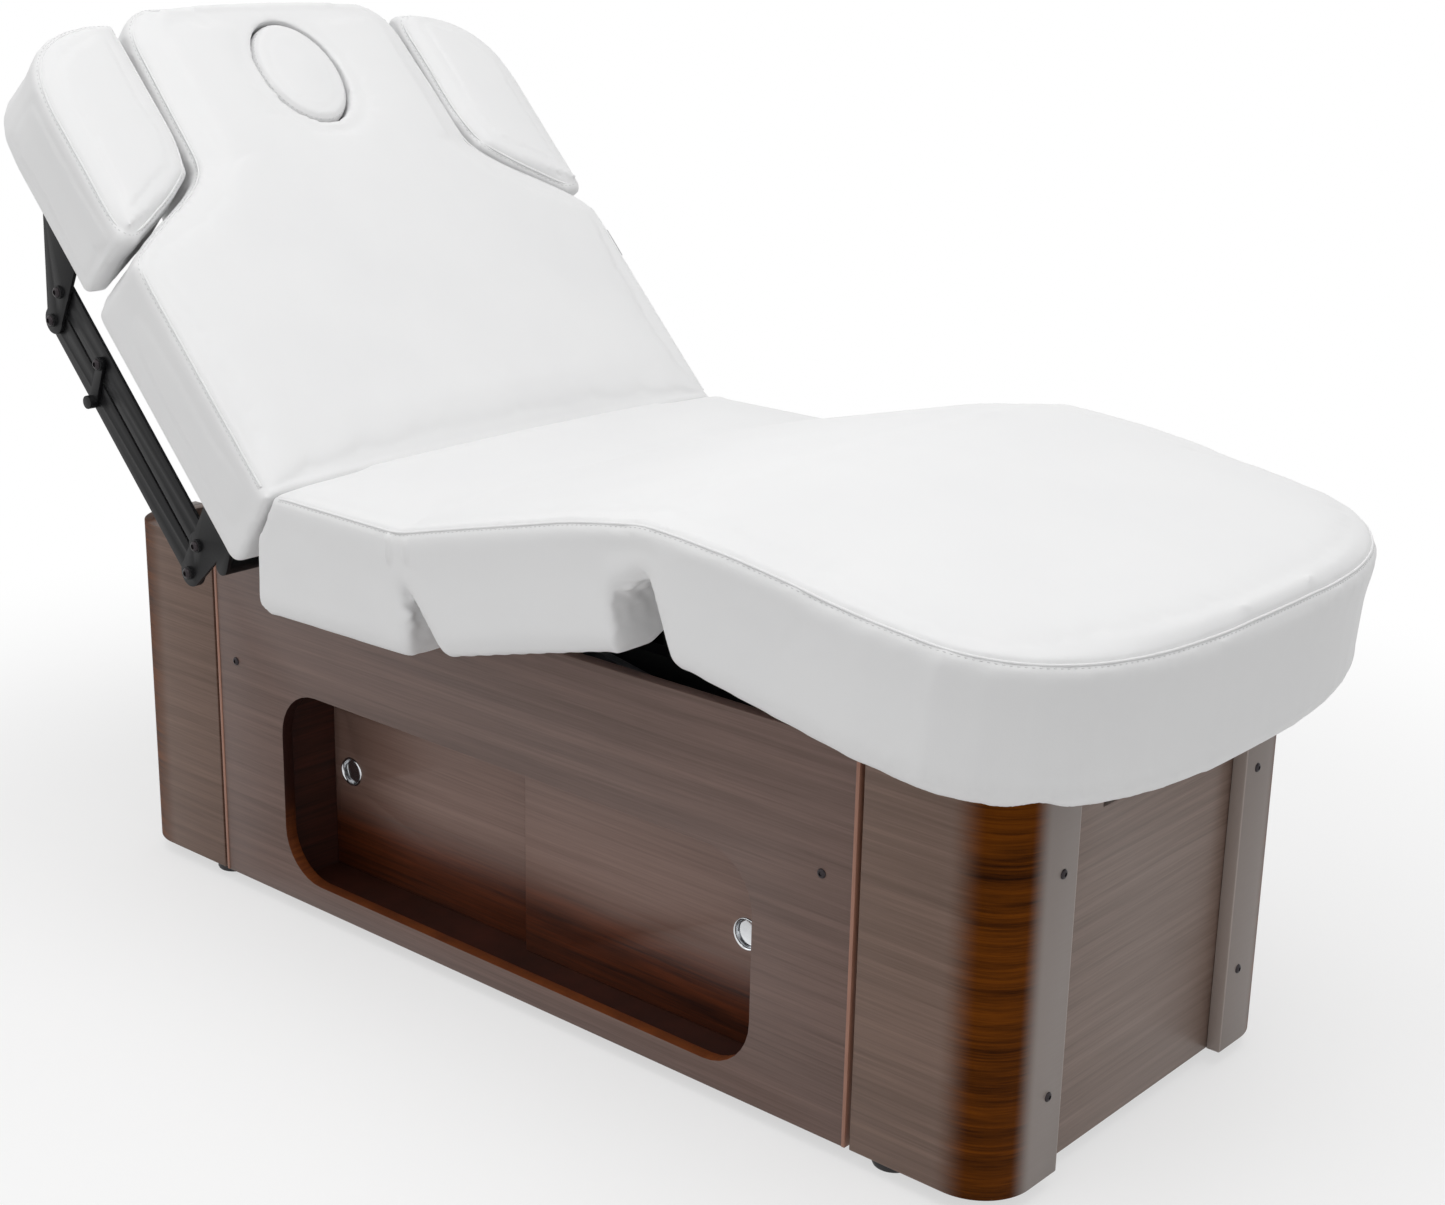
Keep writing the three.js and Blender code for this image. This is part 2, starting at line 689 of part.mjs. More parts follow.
const seatBoardX = [-262, -2];
const earPocket = 24;
const thighWall = 52;
const kneeWall = -53;
const legWall = 49;
const boardStep = 8;

function seatBoard() {
  const half = mattressWidth / 2 - boardInset;
  const local = [seatBoardX[0] - thighPivot[0], seatBoardX[1] - thighPivot[0]];
  let board = box(...local, -half, half, padUnder, padUnder + boardThickness);
  for (const side of [-1, 1]) board = board.subtract(earSlot(side, overrun, thighWall + boardStep));
  return board;
}

// Where the hinge ears stand up through board and cushion
function earSlot(side, drop, reach = earPocket) {
  const inner = frameInner - earThickness - sideGap - rootSink;
  const [y0, y1] = onSide(side, inner, railInner + earThickness + rootSink);
  const low = padUnder - drop;
  const points = [[-earPocket, 0], [-earPocket, low], [reach, low], [reach, padUnder], [earPocket, 0]];
  const shape = outline(points);
  return sidePlate(shape, y0, y1).add(crossRod(earPocket, 0, 0, y0, y1));
}

// Knuckles fill the bends: round sectors on the thigh that turn inside hollows in its neighbours
const lip = 4;
const knuckleGap = 1.5;
const seatLean = 19.7;
const thighKnuckle = 26;
const legKnuckle = 37;
const halfWidth = mattressWidth / 2;
const knuckleFoot = 3;

function sector(from, to, top, half, foot, steps = 4) {
  const rings = [];
  for (let i = 0; i <= steps; i += 1) {
    const lean = rad(from + (to - from) * i / steps);
    const at = (inset) => ({ x: 0, w: half - inset });
    rings.push(cushionRing({ at, lean, bottom: foot, top, widest: halfWidth }));
  }
  return loft(rings);
}

function hollow(from, to) {
  return sector(from, to, pivotDepth - lip + knuckleGap, halfWidth + overrun, 0, 6);
}

const seatCut = 400;
const cutDepth = 110;
const cutHeight = 140;
const seatRear = [[-224, cutHeight], [-227, pivotDepth], [-270, 6], [-270, -50], [-244, -73],
  [-244, -cutDepth]];
const seatNotch = [[-5, -8], [10, -24], [12, -73], [12, -cutDepth]];
const seatStations = [-300, -240, -170, -100, -50, 14];
const seamLip = 2;
const seamSpread = 120;

function seatCushion() {
  const plain = (x, top = pivotDepth) => cushionRing({
    at: (inset) => ({ x, w: halfWidth - inset }), bottom: padBottom, top, widest: halfWidth });
  let body = loft(seatStations.map((x) => plain(x)));
  const behind = outline([...seatRear, [-seatCut, -cutDepth], [-seatCut, cutHeight]]);
  body = body.subtract(sidePlate(behind, -halfWidth - overrun, halfWidth + overrun));
  body = body.subtract(hollow(-thighKnuckle - seatLean - 2, 60));
  const edge = Math.tan(rad(seatLean));
  const ahead = outline([[-seamLip, 0], [-seamLip - edge * seamSpread, seamSpread], [seamSpread, seamSpread],
    [seamSpread, -cutDepth], ...[...seatNotch].reverse()]);
  body = body.subtract(sidePlate(ahead, -halfWidth - overrun, halfWidth + overrun));
  for (const side of [-1, 1]) body = body.subtract(earSlot(side, overrun));
  return body;
}

add(table, 'carriage', carriage(), blackSteel);
const seatGroup = pivotGroup(table, 'pivot_thigh_level', ...thighPivot, 0);
add(seatGroup, 'seat_board', seatBoard(), plainPly);
add(seatGroup, 'seat_cushion', seatCushion(), leatherette);

// Thigh section: a frame, a board and a cushion that turn about the thigh hinge
const thigh = pivotGroup(table, 'pivot_thigh', ...thighPivot, -thighAngle);
const leg = pivotGroup(thigh, 'pivot_leg', thighLength, 0, thighAngle + legAngle);
const frameTop = padUnder - seatGap;
const frameBottom = frameTop - frameDepth;
const railStart = 34;
const railStop = 30;
const kneeDip = 8;
const kneeReach = 90;

function dip(distance) {
  const share = Math.min(1, Math.abs(distance) / kneeReach);
  return kneeDip * (1 - share * share) ** 2;
}

function thighFrame() {
  const parts = [];
  for (const side of [-1, 1]) {
    const [y0, y1] = onSide(side, frameInner, frameOuter);
    parts.push(box(railStart, thighLength - railStop, y0, y1, frameBottom, frameTop));
    const [e0, e1] = onSide(side, frameOuter - earThickness, frameOuter);
    const farFoot = [thighLength - railStop - frameWidth, thighLength - railStop];
    const nearFoot = [railStart, railStart + eyeRadius];
    parts.push(sidePlate(earShape(nearFoot, frameTop - rootSink, [0, 0], earRadius), e0, e1));
    parts.push(sidePlate(earShape(farFoot, frameTop - rootSink, [thighLength, 0], earRadius), e0, e1));
    const pin = onSide(side, frameInner - 2 * plateSink, frameOuter - pinSink);
    parts.push(crossRod(pinRadius, thighLength, 0, ...pin));
  }
  const crank = turnBack([thighEyeB[0] - thighPivot[0], thighEyeB[1] - thighPivot[1]], -thighAngle);
  const across = frameInner + plateSink;
  for (const x of [crank[0], thighLength - 2 * railStop]) {
    parts.push(box(x - frameDepth / 2, x + frameDepth / 2, -across, across, frameBottom, frameTop));
  }
  const forkFoot = [crank[0] - frameDepth / 2, crank[0] + frameDepth / 2];
  parts.push(fork(...crank, forkFoot, frameBottom + pinSink, thighY));
  let frame = join(parts);
  for (const side of [-1, 1]) {
    const cut = onSide(side, frameInner - 2 * rootSink, frameOuter + pinSink);
    frame = frame.subtract(crossRod(pinRadius + bushGap, 0, 0, ...cut));
  }
  return frame;
}

function sectionBoard(from, to, half) {
  return box(from, to, -half, half, padUnder, padUnder + boardThickness);
}

function thighCushion() {
  const flat = (x, bottom, top = pivotDepth - dip(x - thighLength)) => cushionRing({
    at: (inset) => ({ x, w: halfWidth - inset }), bottom, top, widest: halfWidth });
  const end = thighLength;
  const body = loft([
    flat(0, knuckleFoot), flat(11, -8), flat(thighWall, padBottom), flat(120, padBottom),
    flat(210, padBottom),
    flat(290, padBottom), flat(end + kneeWall, padBottom), flat(end + kneeWall + 1, -15), flat(end - 20, -5),
    flat(end, knuckleFoot),
  ]);
  const left = sector(-thighKnuckle, 0, pivotDepth - lip, halfWidth, knuckleFoot);
  const kneeTop = pivotDepth - lip - kneeDip;
  const right = sector(0, legKnuckle, kneeTop, halfWidth, knuckleFoot).translate([end, 0, 0]);
  let cushion = join([body, left, right]);
  for (const side of [-1, 1]) {
    cushion = cushion.subtract(earSlot(side, overrun, thighWall + boardStep));
    cushion = cushion.subtract(earSlot(side, overrun).translate([end, 0, 0]));
  }
  return cushion;
}

add(thigh, 'thigh_frame', thighFrame(), blackSteel);
const thighBoardX = [thighWall + boardStep, thighLength + kneeWall - pinSink];
add(thigh, 'thigh_board', sectionBoard(...thighBoardX, halfWidth - boardInset), plainPly);
add(thigh, 'thigh_cushion', thighCushion(), leatherette);

// Leg section: the foot end is a rounded outline, and two rocker links carry its frame
const legFrameEnd = 355;
const legBarAt = 110;
const linkEyeWall = 5;
const sectionStations = [120, 210];

function legFrame() {
  const parts = [];
  for (const side of [-1, 1]) {
    const [y0, y1] = onSide(side, frameInner, frameOuter);
    parts.push(box(railStart, legFrameEnd, y0, y1, frameBottom, frameTop));
    const within = earThickness + sideGap;
    const [e0, e1] = onSide(side, frameInner - within, frameOuter - within);
    const earFoot = [railStart, railStart + frameWidth];
    parts.push(sidePlate(earShape(earFoot, frameTop - rootSink, [0, 0], earRadius), e0, e1));
    const pin = onSide(side, frameOuter - pinSink, linkInner + linkThickness + 2 * faceSink);
    parts.push(crossRod(pinRadius, ...linkEye, ...pin));
  }
  const across = frameInner + plateSink;
  for (const x of [legBarAt, legFrameEnd - railStop / 2]) {
    parts.push(box(x - frameDepth / 2, x + frameDepth / 2, -across, across, frameBottom, frameTop));
  }
  let frame = join(parts);
  for (const side of [-1, 1]) {
    const cut = onSide(side, frameInner - railStop, frameOuter + pinSink);
    frame = frame.subtract(crossRod(pinRadius + bushGap, 0, 0, ...cut));
  }
  return frame;
}

function footEnd(angle) {
  const [c, s] = [Math.cos(rad(angle)), Math.sin(rad(angle))].map((v) => v ** (2 / footCurvePower_share));
  return (inset) => ({
    x: footCurveStart + (legLength - inset - footCurveStart) * s,
    w: (halfWidth - inset) * c,
  });
}

const footAngles = [0, 14, 26, 37, 47, 56, 64, 71, 77, 82, 86, 88.5];

function legCushion() {
  const flat = (x, bottom, top = pivotDepth - dip(x)) => cushionRing({
    at: (inset) => ({ x, w: halfWidth - inset }), bottom, top, widest: halfWidth });
  const rings = [flat(seamLip, seamLip), flat(legWall, padBottom)];
  for (const x of sectionStations) rings.push(flat(x, padBottom));
  for (const angle of footAngles) {
    rings.push(cushionRing({ at: footEnd(angle), bottom: padBottom, top: pivotDepth, widest: halfWidth }));
  }
  let cushion = loft(rings).subtract(hollow(-4, legKnuckle + 2).translate([0, 0, -kneeDip]));
  for (const side of [-1, 1]) cushion = cushion.subtract(earSlot(side, overrun, legWall + boardStep + 1));
  return cushion;
}

function legBoard() {
  const shape = new THREE.Shape();
  const points = [];
  for (const angle of footAngles) {
    const { x, w } = footEnd(angle)(boardInset);
    points.push([x, w]);
  }
  const rim = [[legWall + 6, halfWidth - boardInset], ...points];
  const mirrored = rim.map(([x, y]) => [x, -y]).reverse();
  shape.setFromPoints([...mirrored.reverse(), ...rim.reverse()].map(([x, y]) => new THREE.Vector2(x, y)));
  return planPlate(shape, padUnder, padUnder + boardThickness);
}

add(leg, 'leg_frame', legFrame(), blackSteel);
add(leg, 'leg_board', legBoard(), plainPly);
add(leg, 'leg_cushion', legCushion(), leatherette);

const legTilt = rad(legAngle);
const kneeAt = [
  thighPivot[0] + thighLength * Math.cos(rad(thighAngle)),
  thighPivot[1] + thighLength * Math.sin(rad(thighAngle)),
];
const linkEyeAt = [
  kneeAt[0] + linkEye[0] * Math.cos(legTilt) + linkEye[1] * Math.sin(legTilt),
  kneeAt[1] - linkEye[0] * Math.sin(legTilt) + linkEye[1] * Math.cos(legTilt),
];
const linkReach = reachOf(linkPivot, linkEyeAt);
const linkRun = [linkEyeAt[0] - linkPivot[0], linkEyeAt[1] - linkPivot[1]];
const linkTilt = THREE.MathUtils.radToDeg(Math.atan2(linkRun[1], linkRun[0]));
const linkSlack = 4;
const legLinks = pivotGroup(table, 'pivot_leg_links', ...linkPivot, -linkTilt);

function legLink(side) {
  const [y0, y1] = onSide(side, linkInner, linkInner + linkThickness);
  const eye = crossRod(pinRadius + linkSlack + linkEyeWall, linkReach, 0, y0, y1, 24);
  return sidePlate(linkShape([0, 0], [linkReach, 0], linkRadius), y0, y1).add(eye)
    .subtract(crossRod(pinRadius + bushGap, 0, 0, y0 - overrun, y1 + overrun))
    .subtract(crossRod(pinRadius + linkSlack, linkReach, 0, y0 - overrun, y1 + overrun));
}

add(legLinks, 'leg_link_near', legLink(-1), blackSteel);
add(legLinks, 'leg_link_far', legLink(1), blackSteel);
actuator('thigh', thighEyeA, thighEyeB,
  { y: thighY, motorSide: -1, slack: linkSlack, eyeHalf: bodyHalf, draw: thighDraw, push: thighPush });

// Backrest: modelled lying flat about its hinge line, then raised
const back = pivotGroup(table, 'pivot_back', ...backPivot, backAngle);
const backUnder = backDepth - backThickness;
const backPadBottom = backUnder + boardThickness + seatGap;
const shoulderGap = 16;
const plugAlong = 625;
const plugX = -(plugAlong + creaseAlong);
const plugHalf = [88, 70];
const plugDepth = 90;
const backBoardStart = 6;
const creaseStart = -40;
const headBow = 5;
const headBow_shares = [[0.05, 0], [0.5, 0.3]];
const plugGap = seatGap;

function alongBack(s) {
  return -(s + creaseAlong);
}

function shoulder(s) {
  const share = THREE.MathUtils.clamp((s - shoulderStart) / (shoulderEnd - shoulderStart), 0, 1);
  const eased = 0.45 * share + 0.55 * share * share * (3 - 2 * share);
  const waist = halfWidth + (neckHalf - halfWidth) * eased;
  const neckShare = THREE.MathUtils.clamp((s - shoulderEnd) / (backLength - headCorner - shoulderEnd), 0, 1);
  return waist + (headHalf - neckHalf) * neckShare;
}

function ellipse(x, [a, b], grow) {
  const shape = new THREE.Shape();
  shape.absellipse(x, 0, a + grow, b + grow, 0, 2 * Math.PI, false, 0);
  return shape;
}

const endFaceFar = 80;
const endFaceTop = 220;
const endFaceLow = -60;
const backEndFace = [[-47.7, endFaceTop], [-47.7, 117], [-15.7, 14], [-32.7, -4], [-32.7, endFaceLow]];
const backStations = [330, 353, 372, 392, 412, 432, 452, 470, 489, 510, 600, 650];
const headAngles = [0, 25, 48, 68, 82, 90];

function backOutline() {
  const rings = headAngles.map((angle) => {
    const [c, s] = [Math.cos(rad(angle)), Math.sin(rad(angle))];
    return (inset) => ({
      x: alongBack(backLength - headBow - headCorner + (headCorner - inset) * s),
      w: headHalf - headCorner + (headCorner - inset) * c,
    });
  });
  for (const [width, drop] of [...headBow_shares].reverse()) {
    rings.push((inset) => ({
      x: alongBack(backLength - headBow * drop - inset),
      w: (headHalf - headCorner) * width,
    }));
  }
  rings.reverse();
  for (const s of [...backStations].reverse()) {
    rings.push((inset) => ({ x: alongBack(s), w: shoulder(s) - inset }));
  }
  for (const s of [200, 80, creaseStart]) rings.push((inset) => ({ x: alongBack(s), w: halfWidth - inset }));
  return rings;
}

function backCushion() {
  const rings = backOutline();
  const last = rings.length - 1;
  const body = loft(rings.map((at, i) => cushionRing({
    at, bottom: backPadBottom, top: backDepth, widest: halfWidth, bulge: i === last ? 0 : crown })));
  const beyond = outline([...backEndFace, [endFaceFar, endFaceLow], [endFaceFar, endFaceTop]]);
  const below = sidePlate(beyond, -halfWidth - overrun, halfWidth + overrun);
  const hole = planPlate(ellipse(plugX, plugHalf, plugGap), backUnder - overrun, backDepth + overrun, 12);
  return body.subtract(below).subtract(hole);
}

function backBoard() {
  const rim = backOutline().map((at) => at(boardInset)).filter(({ x }) => x < alongBack(backBoardStart));
  const upper = rim.map(({ x, w }) => [x, w]);
  upper.push([alongBack(backBoardStart), halfWidth - boardInset]);
  const lower = upper.map(([x, y]) => [x, -y]).reverse();
  const board = planPlate(outline([...lower, ...upper]), backUnder, backUnder + boardThickness);
  return board.subtract(planPlate(ellipse(plugX, plugHalf, plugGap), backUnder - overrun, backDepth, 12));
}

function facePlug() {
  const rings = [[softCorner, -plugDepth], [0, -plugDepth + softCorner], [plugDraw, -plugDepth / 2],
    [0, -plugEdge], [plugEase, 0],
    [plugEdge, plugEase]];
  const positions = [];
  const steps = 24;
  const point = ([inset, height], i) => {
    const angle = i / steps * 2 * Math.PI;
    const [a, b] = plugHalf.map((half) => half - inset);
    return [plugX + a * Math.cos(angle), b * Math.sin(angle), plugTop + height];
  };
  for (let k = 0; k + 1 < rings.length; k += 1) {
    for (let i = 0; i < steps; i += 1) {
      const [a, b] = [point(rings[k], i), point(rings[k], i + 1)];
      const [c, d] = [point(rings[k + 1], i + 1), point(rings[k + 1], i)];
      positions.push(...a, ...b, ...c, ...a, ...c, ...d);
    }
  }
  for (let i = 0; i < steps; i += 1) {
    positions.push(plugX, 0, plugTop - plugDepth, ...point(rings[0], i + 1), ...point(rings[0], i));
    const last = rings[rings.length - 1];
    positions.push(...point(last, i), ...point(last, i + 1), plugX, 0, plugTop + plugCrown);
  }
  const geometry = new THREE.BufferGeometry();
  geometry.setAttribute('position', new THREE.Float32BufferAttribute(positions, 3));
  return solid(geometry);
}

const plugSink = 4;
const plugTop = backDepth + crown - plugSink;
const plugCrown = 9;
const plugDraw = 2;
const plugEdge = 10;
const plugEase = 4;
const backFrameEnd = -365;
const backRailStart = -24;
const backHub = 15;
const backLug = [-40, 12];

function backFrame() {
  const [top, bottom] = [backUnder - seatGap, backUnder - seatGap - frameDepth];
  const crank = turnBack([backEyeB[0] - backPivot[0], backEyeB[1] - backPivot[1]], backAngle);
  const parts = [crossRod(backHub, 0, 0, -railInner + pinSink, railInner - pinSink, 24)];
  for (const side of [-1, 1]) {
    const [y0, y1] = onSide(side, frameInner, frameOuter);
    parts.push(box(backFrameEnd, backRailStart, y0, y1, bottom, top));
    parts.push(sidePlate(linkShape([0, 0], [backLug[0], bottom + backLug[1]], backLug[1]), y0, y1));
    const [c0, c1] = onSide(side, forkHalf - cranePlate, forkHalf).map((y) => y + backY);
    parts.push(sidePlate(linkShape([0, 0], crank, earRadius), c0, c1));
  }
  parts.push(crossRod(pinRadius, ...crank, backY - forkHalf + faceSink, backY + forkHalf - faceSink));
  const across = frameInner + plateSink;
  parts.push(box(backFrameEnd, backFrameEnd + frameDepth, -across, across, bottom, top));
  const boreStart = frameInner - rootSink;
  const boreEnd = railInner + pinSink;
  const bore = [-1, 1].map((side) => (
    crossRod(pinRadius + bushGap, 0, 0, ...onSide(side, boreStart, boreEnd))));
  return join(parts).subtract(join(bore));
}

add(back, 'back_frame', backFrame(), blackSteel);
add(back, 'back_board', backBoard(), plainPly);
add(back, 'back_cushion', backCushion(), leatherette);
add(back, 'face_plug', facePlug(), leatherette);
actuator('back', backEyeA, backEyeB,
  { y: backY, motorSide: 1, slack: liftSlack, eyeHalf: rodEyeHalf, draw: backDraw, push: backPush });

// Arm wings: each rides on two parallel links between a bracket on the back board and a plate under the wing
const linkInset = 36;
const linkY = halfWidth - linkInset;
const linkPlate = 5;
const linkPlay = 0.5;
const plateY = linkY + linkPlate + linkPlay;
const plateThickness = 5;
const wingLinkRadius = 19;
const lowerPin = [-90.7, -81];
const linkOffset = [16, -42];
const wingLinkLength = 404;
const wingPinRadius = 6;
const boltHead = 9;
const wingUnder = backUnder;
const leverAt = -287;
const flangeThickness = 4;
const bracketX = [-130, -50];
const bracketReach = 73;
const plateInset = 5;
const bumpStop = [-44, -60];
const bumpRadius = 11;
const bumpReach = 48;
const bumpWeb = [-60, -30];
const wingFlangeReach = 190;
const wingFlangeInner = 83;
const wingPlateReach = 110;
const boltSink = 2;
const boltProud = 5;

function lobedPlate(a, b, flangeX, flangeTop, side) {
  const [y0, y1] = onSide(side, plateY, plateY + plateThickness);
  const shape = new THREE.Shape();
  shape.moveTo(flangeX[0], flangeTop);
  shape.lineTo(flangeX[1], flangeTop);
  shape.absarc(b[0], b[1], wingLinkRadius, 0, -Math.PI, true);
  shape.closePath();
  const lobes = [a, b].map(([x, z]) => crossRod(wingLinkRadius, x, z, y0, y1, 24));
  return join([sidePlate(shape, y0, y1), ...lobes]);
}

function platePins(points, side) {
  return points.map(([x, z]) => join([
    crossRod(wingPinRadius, x, z, ...onSide(side, linkY - boltSink, plateY + boltSink)),
    crossRod(boltHead, x, z, ...onSide(side, plateY + boltSink, plateY + plateThickness + boltProud), 18),
  ]));
}

function bracket(side) {
  const upper = lowerPin;
  const lower = [lowerPin[0] + linkOffset[0], lowerPin[1] + linkOffset[1]];
  const top = backUnder - seatGap;
  const outer = plateY + plateThickness;
  const plate = lobedPlate(upper, lower, [bracketX[0] + plateInset, bracketX[1] - plateInset], top, side);
  const flange = box(...bracketX, ...onSide(side, linkY - bracketReach, outer), top - flangeThickness, top);
  const bush = crossRod(bumpRadius, ...bumpStop, ...onSide(side, linkY - bumpReach, plateY + boltSink), 18);
  const web = sidePlate(linkShape(bumpStop, bumpWeb, bumpRadius), ...onSide(side, plateY, outer));
  return join([plate, flange, bush, web, ...platePins([upper, lower], side)]);
}

function wingLink(side) {
  const [y0, y1] = onSide(side, linkY, linkY + linkPlate);
  let bar = sidePlate(linkShape([0, 0], [-wingLinkLength, 0], wingLinkRadius), y0, y1, 7);
  for (const x of [0, -wingLinkLength]) {
    bar = bar.subtract(crossRod(wingPinRadius + bushGap, x, 0, y0 - overrun, y1 + overrun));
  }
  return bar;
}

// The wing's own frame has its origin at the upper pin of its plate
const wingSpan = { round: 600, end: 737 };
const wingBoardSpan = [430, 730];
const wingGap = 8;
const wingTip = 2;
const wingInnerHalf = headHalf + wingGap;
const wingRoundPower_share = 2.4;

function wingEdges(s) {
  const inner = Math.max(shoulder(s - shoulderGap), wingInnerHalf);
  const share = THREE.MathUtils.clamp((s - wingSpan.round) / (wingSpan.end - wingSpan.round), 0, 0.985);
  const round = (1 - share ** wingRoundPower_share) ** (1 / wingRoundPower_share);
  const outer = wingInnerHalf + (halfWidth - wingInnerHalf) * round;
  return [inner, outer];
}

const wingStations = [400, 414, 436, 460, 489, 540, 600, 642, 672, 696, 714, 727, 735];
const wingPull_shares = [1, 0.7, 0.3, 0, 0, 0, 0, 0, -0.2, -0.4, -0.6, -0.8, -1];

function wingCushion(side, shift) {
  const rings = wingStations.map((s, i) => {
    const [inner, outer] = wingEdges(s);
    const pull = wingPull_shares[i];
    const half = (outer - inner) / 2;
    const middle = side * (outer + inner) / 2;
    return cushionRing({
      at: (inset) => ({ x: alongBack(s) - inset * pull, w: Math.max(half - inset, wingTip) }),
      centre: middle, bottom: backPadBottom, top: backDepth, widest: half + edgeRadius, bulge: crown / 2 });
  });
  return loft(rings.reverse()).translate(shift);
}

function wingPlate(side, shift) {
  const upper = [lowerPin[0] - wingLinkLength, lowerPin[1]];
  const lower = [upper[0] + linkOffset[0], upper[1] + linkOffset[1]];
  const top = wingUnder - seatGap;
  const end = upper[0] - plateInset;
  const outer = plateY + plateThickness;
  const plate = lobedPlate(upper, lower, [upper[0] - wingPlateReach, end], top, side);
  const flange = box(upper[0] - wingFlangeReach, end, ...onSide(side, linkY - wingFlangeInner, outer),
    top - flangeThickness, top);
  return join([plate, flange, ...platePins([upper, lower], side)]).translate(shift);
}

function wingBoard(side, shift) {
  const rows = wingStations.filter((s) => s > wingBoardSpan[0] && s < wingBoardSpan[1]);
  const innerEdge = rows.map((s) => [alongBack(s), side * (wingEdges(s)[0] + boardInset)]);
  const outerEdge = rows.map((s) => [alongBack(s), side * (wingEdges(s)[1] - boardInset)]);
  const loop = [...innerEdge, ...outerEdge.reverse()];
  const board = planPlate(outline(side < 0 ? loop.reverse() : loop), wingUnder, wingUnder + boardThickness);
  return board.translate(shift);
}

const leverTip = [25, -52];
const leverKnob = 9;
const leverKnobReach = 14;
const leverRadius = 8;
const leverHead = 4;

function lockLever(side) {
  const [y0, y1] = onSide(side, plateY, plateY + plateThickness);
  const knob = crossRod(leverKnob, ...leverTip, ...onSide(side, plateY, plateY + leverKnobReach), 18);
  const head = crossRod(boltHead, 0, 0, ...onSide(side, plateY, plateY + plateThickness + leverHead), 18);
  return join([sidePlate(linkShape([0, 0], leverTip, leverRadius), y0, y1), knob, head]);
}

for (const [name, side] of [['near', -1], ['far', 1]]) {
  const lowerLink = pivotGroup(back, `pivot_link_lower_${name}`, ...lowerPin, 0);
  const outerPin = [lowerPin[0] + linkOffset[0], lowerPin[1] + linkOffset[1]];
  const upperLink = pivotGroup(back, `pivot_link_upper_${name}`, ...outerPin, 0);
  const wing = pivotGroup(lowerLink, `pivot_wing_${name}`, -wingLinkLength, 0, 0);
  const lever = pivotGroup(lowerLink, `pivot_lever_${name}`, leverAt, 0, 0);
  const shift = [wingLinkLength - lowerPin[0], 0, -lowerPin[1]];
  add(back, `link_bracket_${name}`, bracket(side), blackSteel);
  add(lowerLink, `link_inner_${name}`, wingLink(side), blackSteel);
  add(upperLink, `link_outer_${name}`, wingLink(side), blackSteel);
  add(lever, `lock_lever_${name}`, lockLever(side), blackSteel);
  add(wing, `wing_plate_${name}`, wingPlate(side, shift), blackSteel);
  add(wing, `wing_board_${name}`, wingBoard(side, shift), plainPly);
  add(wing, `wing_cushion_${name}`, wingCushion(side, shift), leatherette);
}

// The origin is under the middle of the whole table, on the floor
const group = new THREE.Group();
group.add(table);
group.updateMatrixWorld(true);
const extent = new THREE.Box3().setFromObject(group, true);
table.position.x = -(extent.min.x + extent.max.x) / 2;
table.position.y = -(extent.min.y + extent.max.y) / 2;
group.updateMatrixWorld(true);

export default group;
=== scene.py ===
import json
import math

import bmesh
import bpy
import numpy as np
from mathutils import Matrix, Vector
from mathutils.bvhtree import BVHTree
from mathutils.kdtree import KDTree

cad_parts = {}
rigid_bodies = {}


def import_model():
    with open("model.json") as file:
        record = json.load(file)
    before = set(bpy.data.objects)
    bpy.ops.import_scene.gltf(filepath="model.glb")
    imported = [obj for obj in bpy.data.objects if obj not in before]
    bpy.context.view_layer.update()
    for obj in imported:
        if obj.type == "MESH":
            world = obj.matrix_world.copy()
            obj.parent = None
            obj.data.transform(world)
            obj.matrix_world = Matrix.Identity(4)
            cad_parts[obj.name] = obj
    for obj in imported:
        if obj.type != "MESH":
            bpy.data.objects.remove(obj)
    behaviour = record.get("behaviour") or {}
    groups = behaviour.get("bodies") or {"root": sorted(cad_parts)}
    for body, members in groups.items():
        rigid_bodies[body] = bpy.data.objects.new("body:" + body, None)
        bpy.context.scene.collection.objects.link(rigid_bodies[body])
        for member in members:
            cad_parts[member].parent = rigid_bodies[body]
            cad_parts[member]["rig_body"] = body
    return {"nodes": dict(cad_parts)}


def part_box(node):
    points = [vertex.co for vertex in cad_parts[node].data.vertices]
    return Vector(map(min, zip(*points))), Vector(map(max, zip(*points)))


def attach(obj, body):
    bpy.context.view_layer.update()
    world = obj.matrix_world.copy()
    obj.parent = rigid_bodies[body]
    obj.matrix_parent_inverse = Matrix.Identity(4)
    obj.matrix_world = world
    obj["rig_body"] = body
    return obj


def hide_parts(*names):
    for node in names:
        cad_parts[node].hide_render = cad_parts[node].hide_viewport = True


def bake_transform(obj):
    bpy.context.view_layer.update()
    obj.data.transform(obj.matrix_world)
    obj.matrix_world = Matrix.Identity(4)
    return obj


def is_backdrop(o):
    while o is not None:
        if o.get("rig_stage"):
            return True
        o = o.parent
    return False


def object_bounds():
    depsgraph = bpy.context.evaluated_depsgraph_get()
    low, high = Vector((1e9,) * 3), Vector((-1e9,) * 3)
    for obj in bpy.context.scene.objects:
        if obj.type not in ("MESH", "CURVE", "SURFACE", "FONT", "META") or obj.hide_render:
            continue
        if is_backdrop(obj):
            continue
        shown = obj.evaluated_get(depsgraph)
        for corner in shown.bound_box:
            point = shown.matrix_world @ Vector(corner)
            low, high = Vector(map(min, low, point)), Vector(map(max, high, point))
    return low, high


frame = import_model()
nodes = frame["nodes"]
for start in [o for o in bpy.data.objects if o.name in ("Cube", "Light", "Camera")]:
    bpy.data.objects.remove(start)
